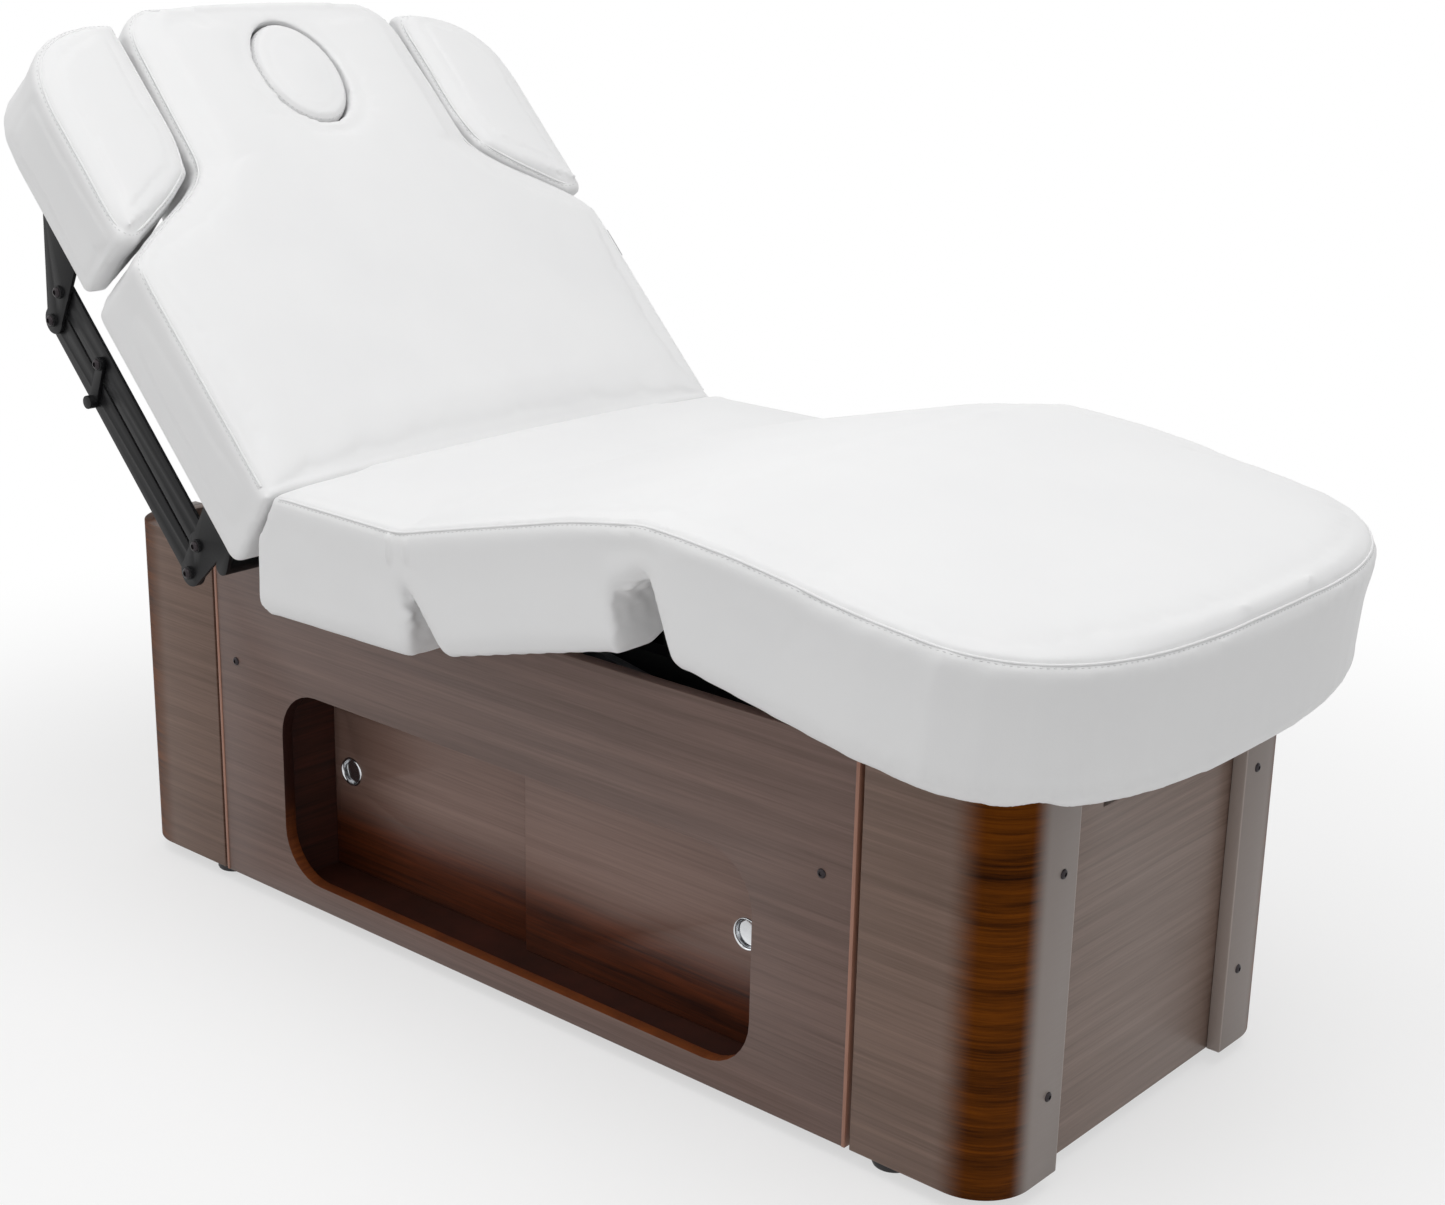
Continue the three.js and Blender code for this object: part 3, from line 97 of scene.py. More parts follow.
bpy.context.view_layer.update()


# CABINET WOOD
# The four walls are 18 mm board in a dark brown veneer with a grey sheen, its grain level along each
# wall and round the corners. The corner curves are painted a deep orange brown and the short flat leg
# after them a plain grey: painted reflections of how their lacquer takes the light, with a painted
# highlight along the leg's inner rim.
def tree(name):
    """A new material, with its node tree and its shader."""
    material = bpy.data.materials.new(name)
    material.use_nodes = True
    return material, material.node_tree, material.node_tree.nodes["Principled BSDF"]


def node(owner, kind, inputs=(), **settings):
    """A new node, each input joined to a socket or set to a value."""
    made = owner.nodes.new(kind)
    for key, value in settings.items():
        setattr(made, key, value)
    for key, value in dict(inputs).items():
        if isinstance(value, bpy.types.NodeSocket):
            owner.links.new(value, made.inputs[key])
        else:
            made.inputs[key].default_value = value
    return made


def placed(owner, stretch, shift=(0, 0, 0)):
    """The place on the piece, stretched and shifted for a pattern."""
    place = node(owner, "ShaderNodeTexCoord").outputs["Object"]
    inputs = {"Vector": place, "Scale": stretch, "Location": shift}
    return node(owner, "ShaderNodeMapping", inputs).outputs["Vector"]


def height_of(owner):
    place = node(owner, "ShaderNodeTexCoord").outputs["Object"]
    return node(owner, "ShaderNodeSeparateXYZ", {"Vector": place}).outputs["Z"]


def mixed(owner, mask, first, second):
    """The first colour where the mask is 0, the second where it is 1."""
    inputs = {"Factor": mask, 6: first, 7: second}
    return node(owner, "ShaderNodeMix", inputs, data_type="RGBA").outputs[2]


def rising(owner, value, start, end, kind="SMOOTHSTEP"):
    """A mask that is 0 up to start and 1 from end on."""
    inputs = {"Value": value, "From Min": start, "From Max": end}
    return node(owner, "ShaderNodeMapRange", inputs, interpolation_type=kind).outputs["Result"]


def uneven(owner, shader, mask, low, high):
    """Roughness that runs from low to high with the mask."""
    gloss = node(owner, "ShaderNodeMapRange", {"Value": mask, "To Min": low, "To Max": high})
    owner.links.new(gloss.outputs["Result"], shader.inputs["Roughness"])


def relief(owner, shader, height, strength, distance):
    """Fine unevenness that catches the light."""
    inputs = {"Strength": strength, "Distance": distance, "Height": height}
    owner.links.new(node(owner, "ShaderNodeBump", inputs).outputs["Normal"], shader.inputs["Normal"])


def sockets(group, way, kinds):
    for name, kind in kinds.items():
        group.interface.new_socket(name=name, in_out=way, socket_type=f"NodeSocket{kind}")


grain = bpy.data.node_groups.new("level_grain", "ShaderNodeTree")
sockets(grain, "INPUT", {"Vector": "Vector", "Light": "Color", "Dark": "Color"})
sockets(grain, "OUTPUT", {"Color": "Color", "Height": "Float"})
taken = node(grain, "NodeGroupInput").outputs
given = node(grain, "NodeGroupOutput").inputs
inputs = {"Vector": taken["Vector"], "Scale": 1.6, "Detail": 5, "Roughness": 0.55, "Distortion": 0.4}
streaks = node(grain, "ShaderNodeTexNoise", inputs).outputs["Fac"]
inputs = {"Vector": taken["Vector"], "Scale": 7, "Detail": 6, "Roughness": 0.7}
fibres = node(grain, "ShaderNodeTexNoise", inputs).outputs["Fac"]
both = node(grain, "ShaderNodeMath", {0: streaks, 1: fibres}, operation="ADD").outputs[0]
spread = rising(grain, both, 0.72, 1.28, "LINEAR")
grain.links.new(mixed(grain, spread, taken["Dark"], taken["Light"]), given["Color"])
grain.links.new(fibres, given["Height"])


def grained(owner, stretch, light, dark, shift=(0, 0, 0)):
    where = placed(owner, stretch, shift)
    inputs = {"Vector": where, "Light": (*light, 1), "Dark": (*dark, 1)}
    return node(owner, "ShaderNodeGroup", inputs, node_tree=grain).outputs


def veneer(name, stretch, light, dark, rough, sheen):
    """A wood finish, with its tree, its shader and its colour for what comes over it."""
    material, owner, shader = tree(name)
    wood = grained(owner, stretch, light, dark)
    owner.links.new(wood["Color"], shader.inputs["Base Color"])
    relief(owner, shader, wood["Height"], 0.08, 0.0006)
    uneven(owner, shader, wood["Height"], rough - 0.05, rough + 0.1)
    shader.inputs["Specular IOR Level"].default_value = sheen
    return material, owner, shader, wood["Color"]


# The cabinet's own middle lies 9.47 mm towards the foot of the frame's zero
middle = 0.00947
level_grain = (1.1, 1.1, 62)
wall_wood = veneer("cabinet_veneer", level_grain, (0.172, 0.103, 0.083), (0.090, 0.049, 0.036),
                   0.42, 0.5)[0]
end_wood = veneer("end_veneer", level_grain, (0.235, 0.165, 0.134), (0.135, 0.086, 0.064), 0.42, 0.5)[0]
post_wood, owner, shader, brown = veneer("corner_veneer", level_grain, (0.185, 0.110, 0.080),
                                         (0.098, 0.052, 0.032), 0.42, 0.5)
# Painted reflection: the curves take a deep orange brown for the little light their lacquer reflects
# there
curve_painted_reflection = grained(owner, (1.6, 1.6, 46), (0.160, 0.042, 0.002), (0.022, 0.005, 0.0005),
                 (0.3, 0.2, 0.4))["Color"]
inputs = {0: node(owner, "ShaderNodeTexCoord").outputs["Object"], 1: (middle, 0, 0)}
away = node(owner, "ShaderNodeVectorMath", inputs, operation="SUBTRACT").outputs["Vector"]
parts = node(owner, "ShaderNodeSeparateXYZ", {"Vector": away}).outputs
along = node(owner, "ShaderNodeMath", {0: parts["X"]}, operation="ABSOLUTE").outputs[0]
across = node(owner, "ShaderNodeMath", {0: parts["Y"]}, operation="ABSOLUTE").outputs[0]
on_curve = rising(owner, along, 0.668, 0.712)
on_leg = rising(owner, across, 0.264, 0.236)
# Painted highlight: a light line along the leg's inner rim
rim_painted_highlight = rising(owner, across, 0.1836, 0.1822, "LINEAR")
colour_with_painted_curve = mixed(owner, on_curve, brown, curve_painted_reflection)
# Painted reflection: the flat leg is painted a plain grey, without grain, for the light its lacquer
# reflects
colour_with_painted_leg_sheen = mixed(owner, on_leg, colour_with_painted_curve, (0.245, 0.205, 0.186, 1))
owner.links.new(mixed(owner, rim_painted_highlight, colour_with_painted_leg_sheen, (0.38, 0.32, 0.29, 1)), shader.inputs["Base Color"])
inputs = {"Value": on_curve, "To Min": 0.5, "To Max": 0.03}
less = node(owner, "ShaderNodeMapRange", inputs).outputs["Result"]
matt = node(owner, "ShaderNodeMath", {0: on_leg, 1: 0.4}, operation="MULTIPLY").outputs[0]
sheen = node(owner, "ShaderNodeMath", {0: less, 1: matt}, operation="ADD").outputs[0]
owner.links.new(sheen, shader.inputs["Specular IOR Level"])
# The bare board edge round the storage opening: orange towards the floor, and dark red higher up, which
# is painted shade
cut_edge, owner, shader, brown = veneer("cut_board_edge_painted_shade", (3, 3, 60), (0.22, 0.058, 0.012),
                                        (0.085, 0.020, 0.006), 0.5, 0.2)
# Painted shade: from 7 cm up the edge darkens, dark red from 19 cm
painted_shade_above = rising(owner, height_of(owner), 0.07, 0.19)
owner.links.new(mixed(owner, painted_shade_above, brown, (0.022, 0.005, 0.003, 1)), shader.inputs["Base Color"])


def eased(name, source, radius, look):
    """A copy of the CAD node with its corners taken off, as a sanded or pressed part has."""
    made = bpy.data.objects.new(name, nodes[source].data.copy())
    bpy.context.scene.collection.objects.link(made)
    work = bmesh.new()
    work.from_mesh(made.data)
    bmesh.ops.remove_doubles(work, verts=work.verts, dist=0.00002)
    bmesh.ops.dissolve_limit(work, angle_limit=math.radians(1), verts=work.verts, edges=work.edges)
    sharp = math.radians(38)
    corners = [e for e in work.edges if len(e.link_faces) == 2 and e.calc_face_angle(0) > sharp]
    bmesh.ops.bevel(work, geom=corners, offset=radius, affect="EDGES", segments=2, profile=0.5,
                    material=-1, clamp_overlap=True)
    work.to_mesh(made.data)
    work.free()
    made.data.materials.clear()
    made.data.materials.append(look)
    for face in made.data.polygons:
        face.use_smooth = True
    made.data.set_sharp_from_angle(angle=math.radians(32))
    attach(made, nodes[source]["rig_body"])
    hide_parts(source)
    return made


for side in ("near", "far"):
    wall = eased(f"cabinet_wall_{side}", f"side_panel_{side}", 0.0012, wall_wood)
    wall.data.materials.append(cut_edge)
    for face in wall.data.polygons:
        inside = abs(face.center.x) < 0.44 and 0.05 < face.center.z < 0.33
        if inside and abs(face.normal.y) < 0.9:
            face.material_index = 1
for end in ("head", "foot"):
    eased(f"cabinet_end_{end}", f"end_panel_{end}", 0.0012, end_wood)
    for side in ("near", "far"):
        eased(f"cabinet_corner_{end}_{side}", f"corner_post_{end}_{side}", 0.0012, post_wood)

# CABINET TRIM
# Two dark button screws hold each corner's flat leg, whose grey is a painted reflection, and one stands
# near each end of the long walls.
# A thin copper-coloured edging closes both ends of the long walls, beside the dark groove: it stands
# for the board's own edge there, its bright tone partly the cut wood and partly painted highlight.
def noise(owner, stretch, scale, detail):
    """Soft random spots over the piece."""
    inputs = {"Vector": placed(owner, stretch), "Scale": scale, "Detail": detail}
    return node(owner, "ShaderNodeTexNoise", inputs).outputs["Fac"]


def two_tone(owner, shader, mask, dark, light):
    """A base colour that runs from dark to light with the mask."""
    ramp = node(owner, "ShaderNodeValToRGB", {"Fac": mask})
    ramp.color_ramp.elements[0].color = (*dark, 1)
    ramp.color_ramp.elements[1].color = (*light, 1)
    owner.links.new(ramp.outputs["Color"], shader.inputs["Base Color"])


screw_metal, owner, shader = tree("dark_screw")
pits = noise(owner, (900, 900, 900), 1, 3)
uneven(owner, shader, pits, 0.28, 0.5)
two_tone(owner, shader, pits, (0.012, 0.009, 0.01), (0.05, 0.04, 0.045))
shader.inputs["Metallic"].default_value = 0.6

# Painted highlight: the bright copper tone stands for light catching the board's edge in the groove
edge_painted_highlight, owner, shader = tree("copper_edging")
two_tone(owner, shader, noise(owner, (300, 300, 30), 1, 4), (0.26, 0.115, 0.075), (0.40, 0.20, 0.135))
shader.inputs["Roughness"].default_value = 0.45

base_half = 0.752
wall_half = 0.302
floor_gap = 0.021
wall_top = 0.498
screw_radius = 0.0058
screw_height = 0.0026


def bar(work, low, high):
    centre = Matrix.Translation([(a + b) / 2 for a, b in zip(low, high)])
    size = Matrix.Diagonal((*(b - a for a, b in zip(low, high)), 1))
    bmesh.ops.create_cube(work, size=1, matrix=centre @ size)


def close(work, name, look, body, bevel=0):
    """Turns the finished work into a piece that rides on a body."""
    if bevel:
        bmesh.ops.bevel(work, geom=work.edges[:], offset=bevel, affect="EDGES", segments=2,
                        profile=0.5, material=-1, clamp_overlap=True)
    mesh = bpy.data.meshes.new(name)
    work.to_mesh(mesh)
    work.free()
    made = bpy.data.objects.new(name, mesh)
    bpy.context.scene.collection.objects.link(made)
    mesh.materials.append(look)
    for face in mesh.polygons:
        face.use_smooth = True
    mesh.set_sharp_from_angle(angle=math.radians(35))
    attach(made, body)
    return made


def button(work, place, outward, radius, height, socket=0.45):
    """A button-head screw: a domed head with a six-sided socket, its flat side on the given place."""
    steps = 6
    rim = [(0, height * 0.55), (radius * socket, height * 0.55), (radius * socket, height)]
    for i in range(steps + 1):
        angle = math.pi / 2 * i / steps
        rim.append((radius * (socket + (1 - socket) * math.sin(angle)), height * math.cos(angle)))
    turned = outward.to_track_quat("Z", "Y").to_matrix().to_4x4()
    whole = Matrix.Translation(place) @ turned
    made = [work.verts.new(whole @ Vector((r, 0, h))) for r, h in rim]
    lines = [work.edges.new((a, b)) for a, b in zip(made, made[1:])]
    axis = whole.to_3x3() @ Vector((0, 0, 1))
    bmesh.ops.spin(work, geom=made + lines, cent=whole @ Vector(), axis=axis, angle=2 * math.pi,
                   steps=18, use_merge=True)


for end, outward in (("head", -1), ("foot", 1)):
    for side, hand in (("near", -1), ("far", 1)):
        work = bmesh.new()
        face = middle + outward * (base_half - 0.0001)
        for height in (0.124, 0.385):
            place = Vector((face, hand * 0.209, height))
            button(work, place, Vector((outward, 0, 0)), screw_radius, screw_height)
        bmesh.ops.recalc_face_normals(work, faces=work.faces)
        close(work, f"corner_screws_{end}_{side}", screw_metal, "base")
for side, hand in (("near", -1), ("far", 1)):
    work = bmesh.new()
    for end, outward in (("head", -1), ("foot", 1)):
        edge = middle + outward * 0.552
        near_edge, far_edge = sorted((edge - outward * 0.0046, edge + outward * 0.0004))
        bar(work, (near_edge, min(hand * 0.2855, hand * 0.3028), floor_gap + 0.0003),
            (far_edge, max(hand * 0.2855, hand * 0.3028), wall_top - 0.0003))
    close(work, f"copper_edging_{side}", edge_painted_highlight, "base", 0.0007)
    work = bmesh.new()
    for x in (-0.512, 0.506):
        place = Vector((middle + x, hand * (wall_half - 0.0001), 0.34))
        button(work, place, Vector((0, hand, 0)), screw_radius, screw_height)
    bmesh.ops.recalc_face_normals(work, faces=work.faces)
    close(work, f"wall_screws_{side}", screw_metal, "base")

# LEVELLING FEET
# Black moulded feet, 50 mm across, with a rounded rim. A short neck joins each to the panels above, and
# all four stand on the floor under the corners.
moulded, owner, shader = tree("black_moulding")
speckle = noise(owner, (700, 700, 700), 1, 4)
two_tone(owner, shader, speckle, (0.010, 0.009, 0.010), (0.030, 0.026, 0.028))
uneven(owner, shader, speckle, 0.4, 0.62)
relief(owner, shader, speckle, 0.15, 0.0004)
for end, x in (("head", -0.59), ("foot", 0.59)):
    for side, hand in (("near", -1), ("far", 1)):
        work = bmesh.new()
        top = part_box(f"levelling_foot_{end}_{side}")[1][2]
        rim = [(0, 0), (0.020, 0), (0.0238, 0.0008), (0.025, 0.0035), (0.0245, 0.0085), (0.0215, 0.012),
               (0.0140, 0.0142), (0.0115, 0.0155), (0.0115, top), (0, top)]
        centre = Vector((middle + x, hand * 0.26, 0))
        made = [work.verts.new(centre + Vector((r, 0, h))) for r, h in rim]
        lines = [work.edges.new((a, b)) for a, b in zip(made, made[1:])]
        bmesh.ops.spin(work, geom=made + lines, cent=centre, axis=(0, 0, 1), angle=2 * math.pi,
                       steps=40, use_merge=True)
        bmesh.ops.remove_doubles(work, verts=work.verts, dist=0.00001)
        bmesh.ops.recalc_face_normals(work, faces=work.faces)
        foot = close(work, f"foot_{end}_{side}", moulded, "base")
        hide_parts(f"levelling_foot_{end}_{side}")

# NICHE, STORAGE BOX AND SLIDING DOORS
# Behind the wall's opening a dark red-brown box holds two sliding doors, the foot door in front. Each
# has a chrome finger cup near its outer end. Low down the doors run into a dark red, painted shade for
# the dimmer light near the niche's floor.
inner_wood = veneer("inner_veneer", (1.4, 1.4, 48), (0.060, 0.014, 0.007), (0.014, 0.004, 0.002),
                    0.48, 0.25)[0]
door_wood, owner, shader, brown = veneer("door_veneer", (1.0, 1.0, 56), (0.275, 0.172, 0.138),
                                         (0.185, 0.106, 0.082), 0.42, 0.5)
# Painted shade: the lower part of each door takes this dark red, below 17.5 cm and fully from 8.5 cm
# down
painted_shade_red = grained(owner, (1.4, 1.4, 44), (0.160, 0.036, 0.009), (0.018, 0.004, 0.002),
              (0.2, 0.1, 0.3))["Color"]
lower = rising(owner, height_of(owner), 0.175, 0.085)
owner.links.new(mixed(owner, lower, brown, painted_shade_red), shader.inputs["Base Color"])
eased("storage_box_shell", "storage_box", 0.0006, inner_wood)
for end in ("head", "foot"):
    eased(f"door_{end}", f"sliding_door_{end}", 0.001, door_wood)
plated, owner, shader = tree("bright_chrome")
marks = noise(owner, (60, 60, 60), 2, 5)
uneven(owner, shader, marks, 0.08, 0.2)
two_tone(owner, shader, marks, (0.60, 0.61, 0.63), (0.78, 0.79, 0.80))
shader.inputs["Metallic"].default_value = 1
for end in ("head", "foot"):
    low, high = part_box(f"door_pull_{end}")
    centre = Vector(((low[0] + high[0]) / 2, low[1], (low[2] + high[2]) / 2))
    deep_end = high[1] - low[1]
    rim = [(0.0, deep_end - 0.0014), (0.0150, deep_end - 0.0014), (0.0166, deep_end - 0.0024),
           (0.0172, 0.004), (0.0176, 0.0016), (0.0186, 0.0004), (0.0198, 0.0), (0.0206, 0.0006),
           (0.0210, 0.0014), (0.0180, 0.0016), (0.0180, deep_end), (0.0, deep_end)]
    work = bmesh.new()
    made = [work.verts.new(centre + Vector((r, h, 0))) for r, h in rim]
    lines = [work.edges.new((a, b)) for a, b in zip(made, made[1:])]
    bmesh.ops.spin(work, geom=made + lines, cent=centre, axis=(0, 1, 0), angle=2 * math.pi, steps=48,
                   use_merge=True)
    bmesh.ops.remove_doubles(work, verts=work.verts, dist=0.00001)
    bmesh.ops.recalc_face_normals(work, faces=work.faces)
    cup = close(work, f"finger_cup_{end}", plated, f"door_{end}")
    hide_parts(f"door_pull_{end}")

# STEELWORK AND DRIVES
# The hidden frame, lift arms and carriage are powder-coated steel, the drives black mouldings with
# bright rods. The arm-wing linkage outside the cushions is satin black.
powder, owner, shader = tree("black_powder_coat")
orange_peel = noise(owner, (520, 520, 520), 1, 3)
relief(owner, shader, orange_peel, 0.25, 0.0004)
uneven(owner, shader, orange_peel, 0.34, 0.5)
two_tone(owner, shader, orange_peel, (0.003, 0.003, 0.0035), (0.011, 0.011, 0.012))
shader.inputs["Specular IOR Level"].default_value = 0.22
grey_coat, owner, shader = tree("grey_powder_coat")
orange_peel = noise(owner, (420, 420, 420), 1, 3)
relief(owner, shader, orange_peel, 0.2, 0.0004)
two_tone(owner, shader, orange_peel, (0.06, 0.062, 0.066), (0.12, 0.123, 0.128))
uneven(owner, shader, orange_peel, 0.42, 0.56)
shader.inputs["Metallic"].default_value = 0.4
plies, owner, shader = tree("plywood_face")
layers = noise(owner, (9, 70, 70), 1.5, 6)
two_tone(owner, shader, layers, (0.26, 0.16, 0.09), (0.50, 0.35, 0.21))
uneven(owner, shader, layers, 0.6, 0.75)

# The bolts are given in the flat frame of the backrest, which stands raised
back_pivot = Vector((-0.32853, 0, 0.522))
back_tilt = math.radians(46.9)
back_pose = Matrix.Translation(back_pivot) @ Matrix.Rotation(back_tilt, 4, "Y")
for side, hand in (("near", -1), ("far", 1)):
    for part in ("link_bracket", "link_inner", "link_outer", "wing_plate", "lock_lever"):
        eased(f"{part}_{side}_steel", f"{part}_{side}", 0.0007, powder)
    for name, body, depth, places in (
            ("bracket", "back", 0.3983, ((-0.0907, -0.081), (-0.0747, -0.123))),
            ("wing", f"wing_{side}", 0.3983, ((-0.4947, -0.081), (-0.4787, -0.123))),
            ("lever", f"lever_{side}", 0.3973, ((-0.3777, -0.081),))):
        work = bmesh.new()
        for x, z in places:
            button(work, back_pose @ Vector((x, hand * depth, z)), Vector((0, hand, 0)), 0.0072, 0.0042)
        bmesh.ops.recalc_face_normals(work, faces=work.faces)
        close(work, f"{name}_bolts_{side}", screw_metal, body)
looks = {"veneer": wall_wood, "inner_veneer": inner_wood, "plywood": plies, "leatherette": plies,
         "black_steel": powder, "grey_steel": grey_coat, "chrome": plated, "black_plastic": moulded}
for made in nodes.values():
    for i, old in enumerate(made.data.materials):
        made.data.materials[i] = looks[old.name.split(".")[0]]

# LEATHERETTE
# White upholstery vinyl with a fine pore, a soft sheen and slow patches that are a little duller. The
# sewing thread is a light grey.
pores = bpy.data.node_groups.new("vinyl_pores", "ShaderNodeTree")
sockets(pores, "INPUT", {"Vector": "Vector", "Pore Scale": "Float"})
sockets(pores, "OUTPUT", {"Height": "Float", "Patches": "Float"})
taken = node(pores, "NodeGroupInput").outputs
given = node(pores, "NodeGroupOutput").inputs
inputs = {"Vector": taken["Vector"], "Scale": taken["Pore Scale"]}
cells = node(pores, "ShaderNodeTexVoronoi", inputs).outputs["Distance"]
inputs = {"Vector": taken["Vector"], "Scale": 6, "Detail": 3}
slow = node(pores, "ShaderNodeTexNoise", inputs).outputs["Fac"]
inputs = {"Vector": taken["Vector"], "Scale": 22, "Detail": 2}
ripple = node(pores, "ShaderNodeTexNoise", inputs).outputs["Fac"]
total = node(pores, "ShaderNodeMath", {0: cells, 1: ripple}, operation="ADD").outputs[0]
pores.links.new(total, given["Height"])
pores.links.new(slow, given["Patches"])
vinyl, owner, shader = tree("white_leatherette")
inputs = {"Vector": placed(owner, (1, 1, 1)), "Pore Scale": 620}
skin_look = node(owner, "ShaderNodeGroup", inputs, node_tree=pores).outputs
relief(owner, shader, skin_look["Height"], 0.12, 0.0003)
uneven(owner, shader, skin_look["Patches"], 0.42, 0.54)
two_tone(owner, shader, skin_look["Patches"], (0.78, 0.78, 0.785), (0.83, 0.83, 0.83))
shader.inputs["Specular IOR Level"].default_value = 0.35
thread, owner, shader = tree("seam_thread")
two_tone(owner, shader, noise(owner, (1, 1, 1), 900, 2), (0.58, 0.58, 0.585), (0.74, 0.74, 0.74))
shader.inputs["Roughness"].default_value = 0.7

# MATTRESS: SEAT, THIGH AND LEG
# One upholstered cushion that bends at the thigh hinge, where the side shows a notch with wrinkled
# walls, and at the knee, where the top is eased. Its cover wraps the boards underneath.
half_width = 0.419
hinge = Vector((-0.03253, 0, 0.573))
knee = Vector((0.34832, 0, 0.66584))
rise = math.radians(13.7)
fall = math.radians(8.3)
crown_height = 0.015
edge_radius = 0.014
under_stretch = 0.0735 / 0.0602


def tilted(pivot, angle):
    """Place and turn of a section's own frame: x along it, z out of its face."""
    return Matrix.Translation(pivot) @ Matrix.Rotation(-angle, 4, "Y")


def coordinates(made):
    points = np.empty(len(made.data.vertices) * 3)
    made.data.vertices.foreach_get("co", points)
    return points.reshape(-1, 3)


def put(made, points):
    made.data.vertices.foreach_set("co", points.ravel())
    made.data.update()


def carried(points, pose):
    """The points taken along by a pose, or with its inverse into the frame of that pose."""
    by = np.array(pose)
    return points @ by[:3, :3].T + by[:3, 3]


def deeper(source, pose, below, stretch):
    """A copy of the CAD cushion whose underside goes down to cover the board."""
    local = carried(coordinates(nodes[source]), pose.inverted())
    under = local[:, 2] < below
    local[under, 2] = below + (local[under, 2] - below) * stretch
    return carried(local, pose).tolist(), [tuple(p.vertices) for p in nodes[source].data.polygons]


def section(x, top, bottom, lean=0.0):
    """One closed ring across a cushion, as its end view shows it: crowned top, drawn-in sides."""
    corner = 0.012
    half_ring = [(corner, 0, bottom), (corner, 1, bottom), (0, 1, bottom + corner),
                 (0.003, 1, (bottom + top) / 2), (0, 1, top - edge_radius), (0.0042, 1, top - 0.0042)]
    half_ring += [(edge_radius, share, top) for share in (1, 0.92, 0.8, 0.6, 0.3, 0)]
    ring = []
    for hand, rows in ((1, half_ring), (-1, half_ring[1:-1][::-1])):
        for inset, share, height in rows:
            y = hand * share * (half_width - inset)
            reach = min(1, abs(y) / (half_width - edge_radius))
            level = height + (crown_height * (1 - reach ** 2.5) if height == top and share < 1 else 0)
            ring.append((x + level * math.sin(lean), y, level * math.cos(lean)))
    return ring


def bridge(rings):
    points = [p for ring in rings for p in ring]
    count = len(rings[0])
    faces = [tuple(range(count))[::-1], tuple((len(rings) - 1) * count + i for i in range(count))]
    for r in range(len(rings) - 1):
        for i in range(count):
            k = (i + 1) % count
            faces.append((r * count + i, r * count + k, (r + 1) * count + k, (r + 1) * count + i))
    return points, faces


def gathered(name, shapes, voxel, smooth):
    """Fuses closed shapes into one even skin."""
    points, faces = [], []
    for more_points, more_faces in shapes:
        start = len(points)
        points += more_points
        faces += [tuple(start + i for i in face) for face in more_faces]
    mesh = bpy.data.meshes.new(name)
    mesh.from_pydata(points, [], faces)
    made = bpy.data.objects.new(name, mesh)
    bpy.context.scene.collection.objects.link(made)
    work = bmesh.new()
    work.from_mesh(mesh)
    bmesh.ops.remove_doubles(work, verts=work.verts, dist=0.00002)
    bmesh.ops.recalc_face_normals(work, faces=work.faces)
    work.to_mesh(mesh)
    work.free()
    bpy.context.view_layer.objects.active = made
    for other in bpy.context.selected_objects:
        other.select_set(False)
    made.select_set(True)
    remesh = made.modifiers.new("even", "REMESH")
    remesh.mode = "VOXEL"
    remesh.voxel_size = voxel
    bpy.ops.object.modifier_apply(modifier="even")
    relax = made.modifiers.new("relax", "SMOOTH")
    relax.factor = 0.5
    relax.iterations = smooth
    bpy.ops.object.modifier_apply(modifier="relax")
    return made


def normals(made):
    out = np.empty(len(made.data.vertices) * 3)
    made.data.vertices.foreach_get("normal", out)
    return out.reshape(-1, 3)


def puffed(made, shrink, cap):
    """Air pressure fills the cover from a slightly smaller start. No point moves further than cap, and
    each comes out by at least three quarters of the shrink, so that a tight curve isn't drawn in."""
    facing = normals(made)
    points = coordinates(made) - facing * shrink
    put(made, points)
    cloth = made.modifiers.new("stuffing", "CLOTH")
    cloth.settings.quality = 3
    cloth.settings.mass = 0.3
    cloth.settings.tension_stiffness = 15
    cloth.settings.compression_stiffness = 15
    cloth.settings.shear_stiffness = 5
    cloth.settings.bending_stiffness = 0.5
    cloth.settings.use_pressure = True
    cloth.settings.uniform_pressure_force = 4
    cloth.settings.effector_weights.gravity = 0
    cloth.collision_settings.use_collision = False
    cloth.collision_settings.use_self_collision = False
    cloth.point_cache.frame_start = 1
    cloth.point_cache.frame_end = 20
    for step in range(1, 21):
        bpy.context.scene.frame_set(step)
    filled = made.evaluated_get(bpy.context.evaluated_depsgraph_get()).to_mesh()
    moved = np.empty(len(filled.vertices) * 3)
    filled.vertices.foreach_get("co", moved)
    moved = moved.reshape(-1, 3)
    made.modifiers.remove(cloth)
    bpy.context.scene.frame_set(1)
    step = moved - points
    out = (step * facing).sum(axis=1, keepdims=True)
    step += facing * (np.maximum(out, shrink * 0.75) - out)
    length = np.linalg.norm(step, axis=1, keepdims=True)
    step *= np.minimum(1, cap / np.maximum(length, 1e-9))
    put(made, points + step)


def subdivided(made):
    finer = made.modifiers.new("finer", "SUBSURF")
    finer.levels = 1
    finer.render_levels = 1
    bpy.context.view_layer.objects.active = made
    bpy.ops.object.modifier_apply(modifier="finer")
    made.data.materials.clear()
    made.data.materials.append(vinyl)
    for face in made.data.polygons:
        face.use_smooth = True


def skin_of(made):
    faces = [tuple(face.vertices) for face in made.data.polygons]
    return BVHTree.FromPolygons(coordinates(made).tolist(), faces)


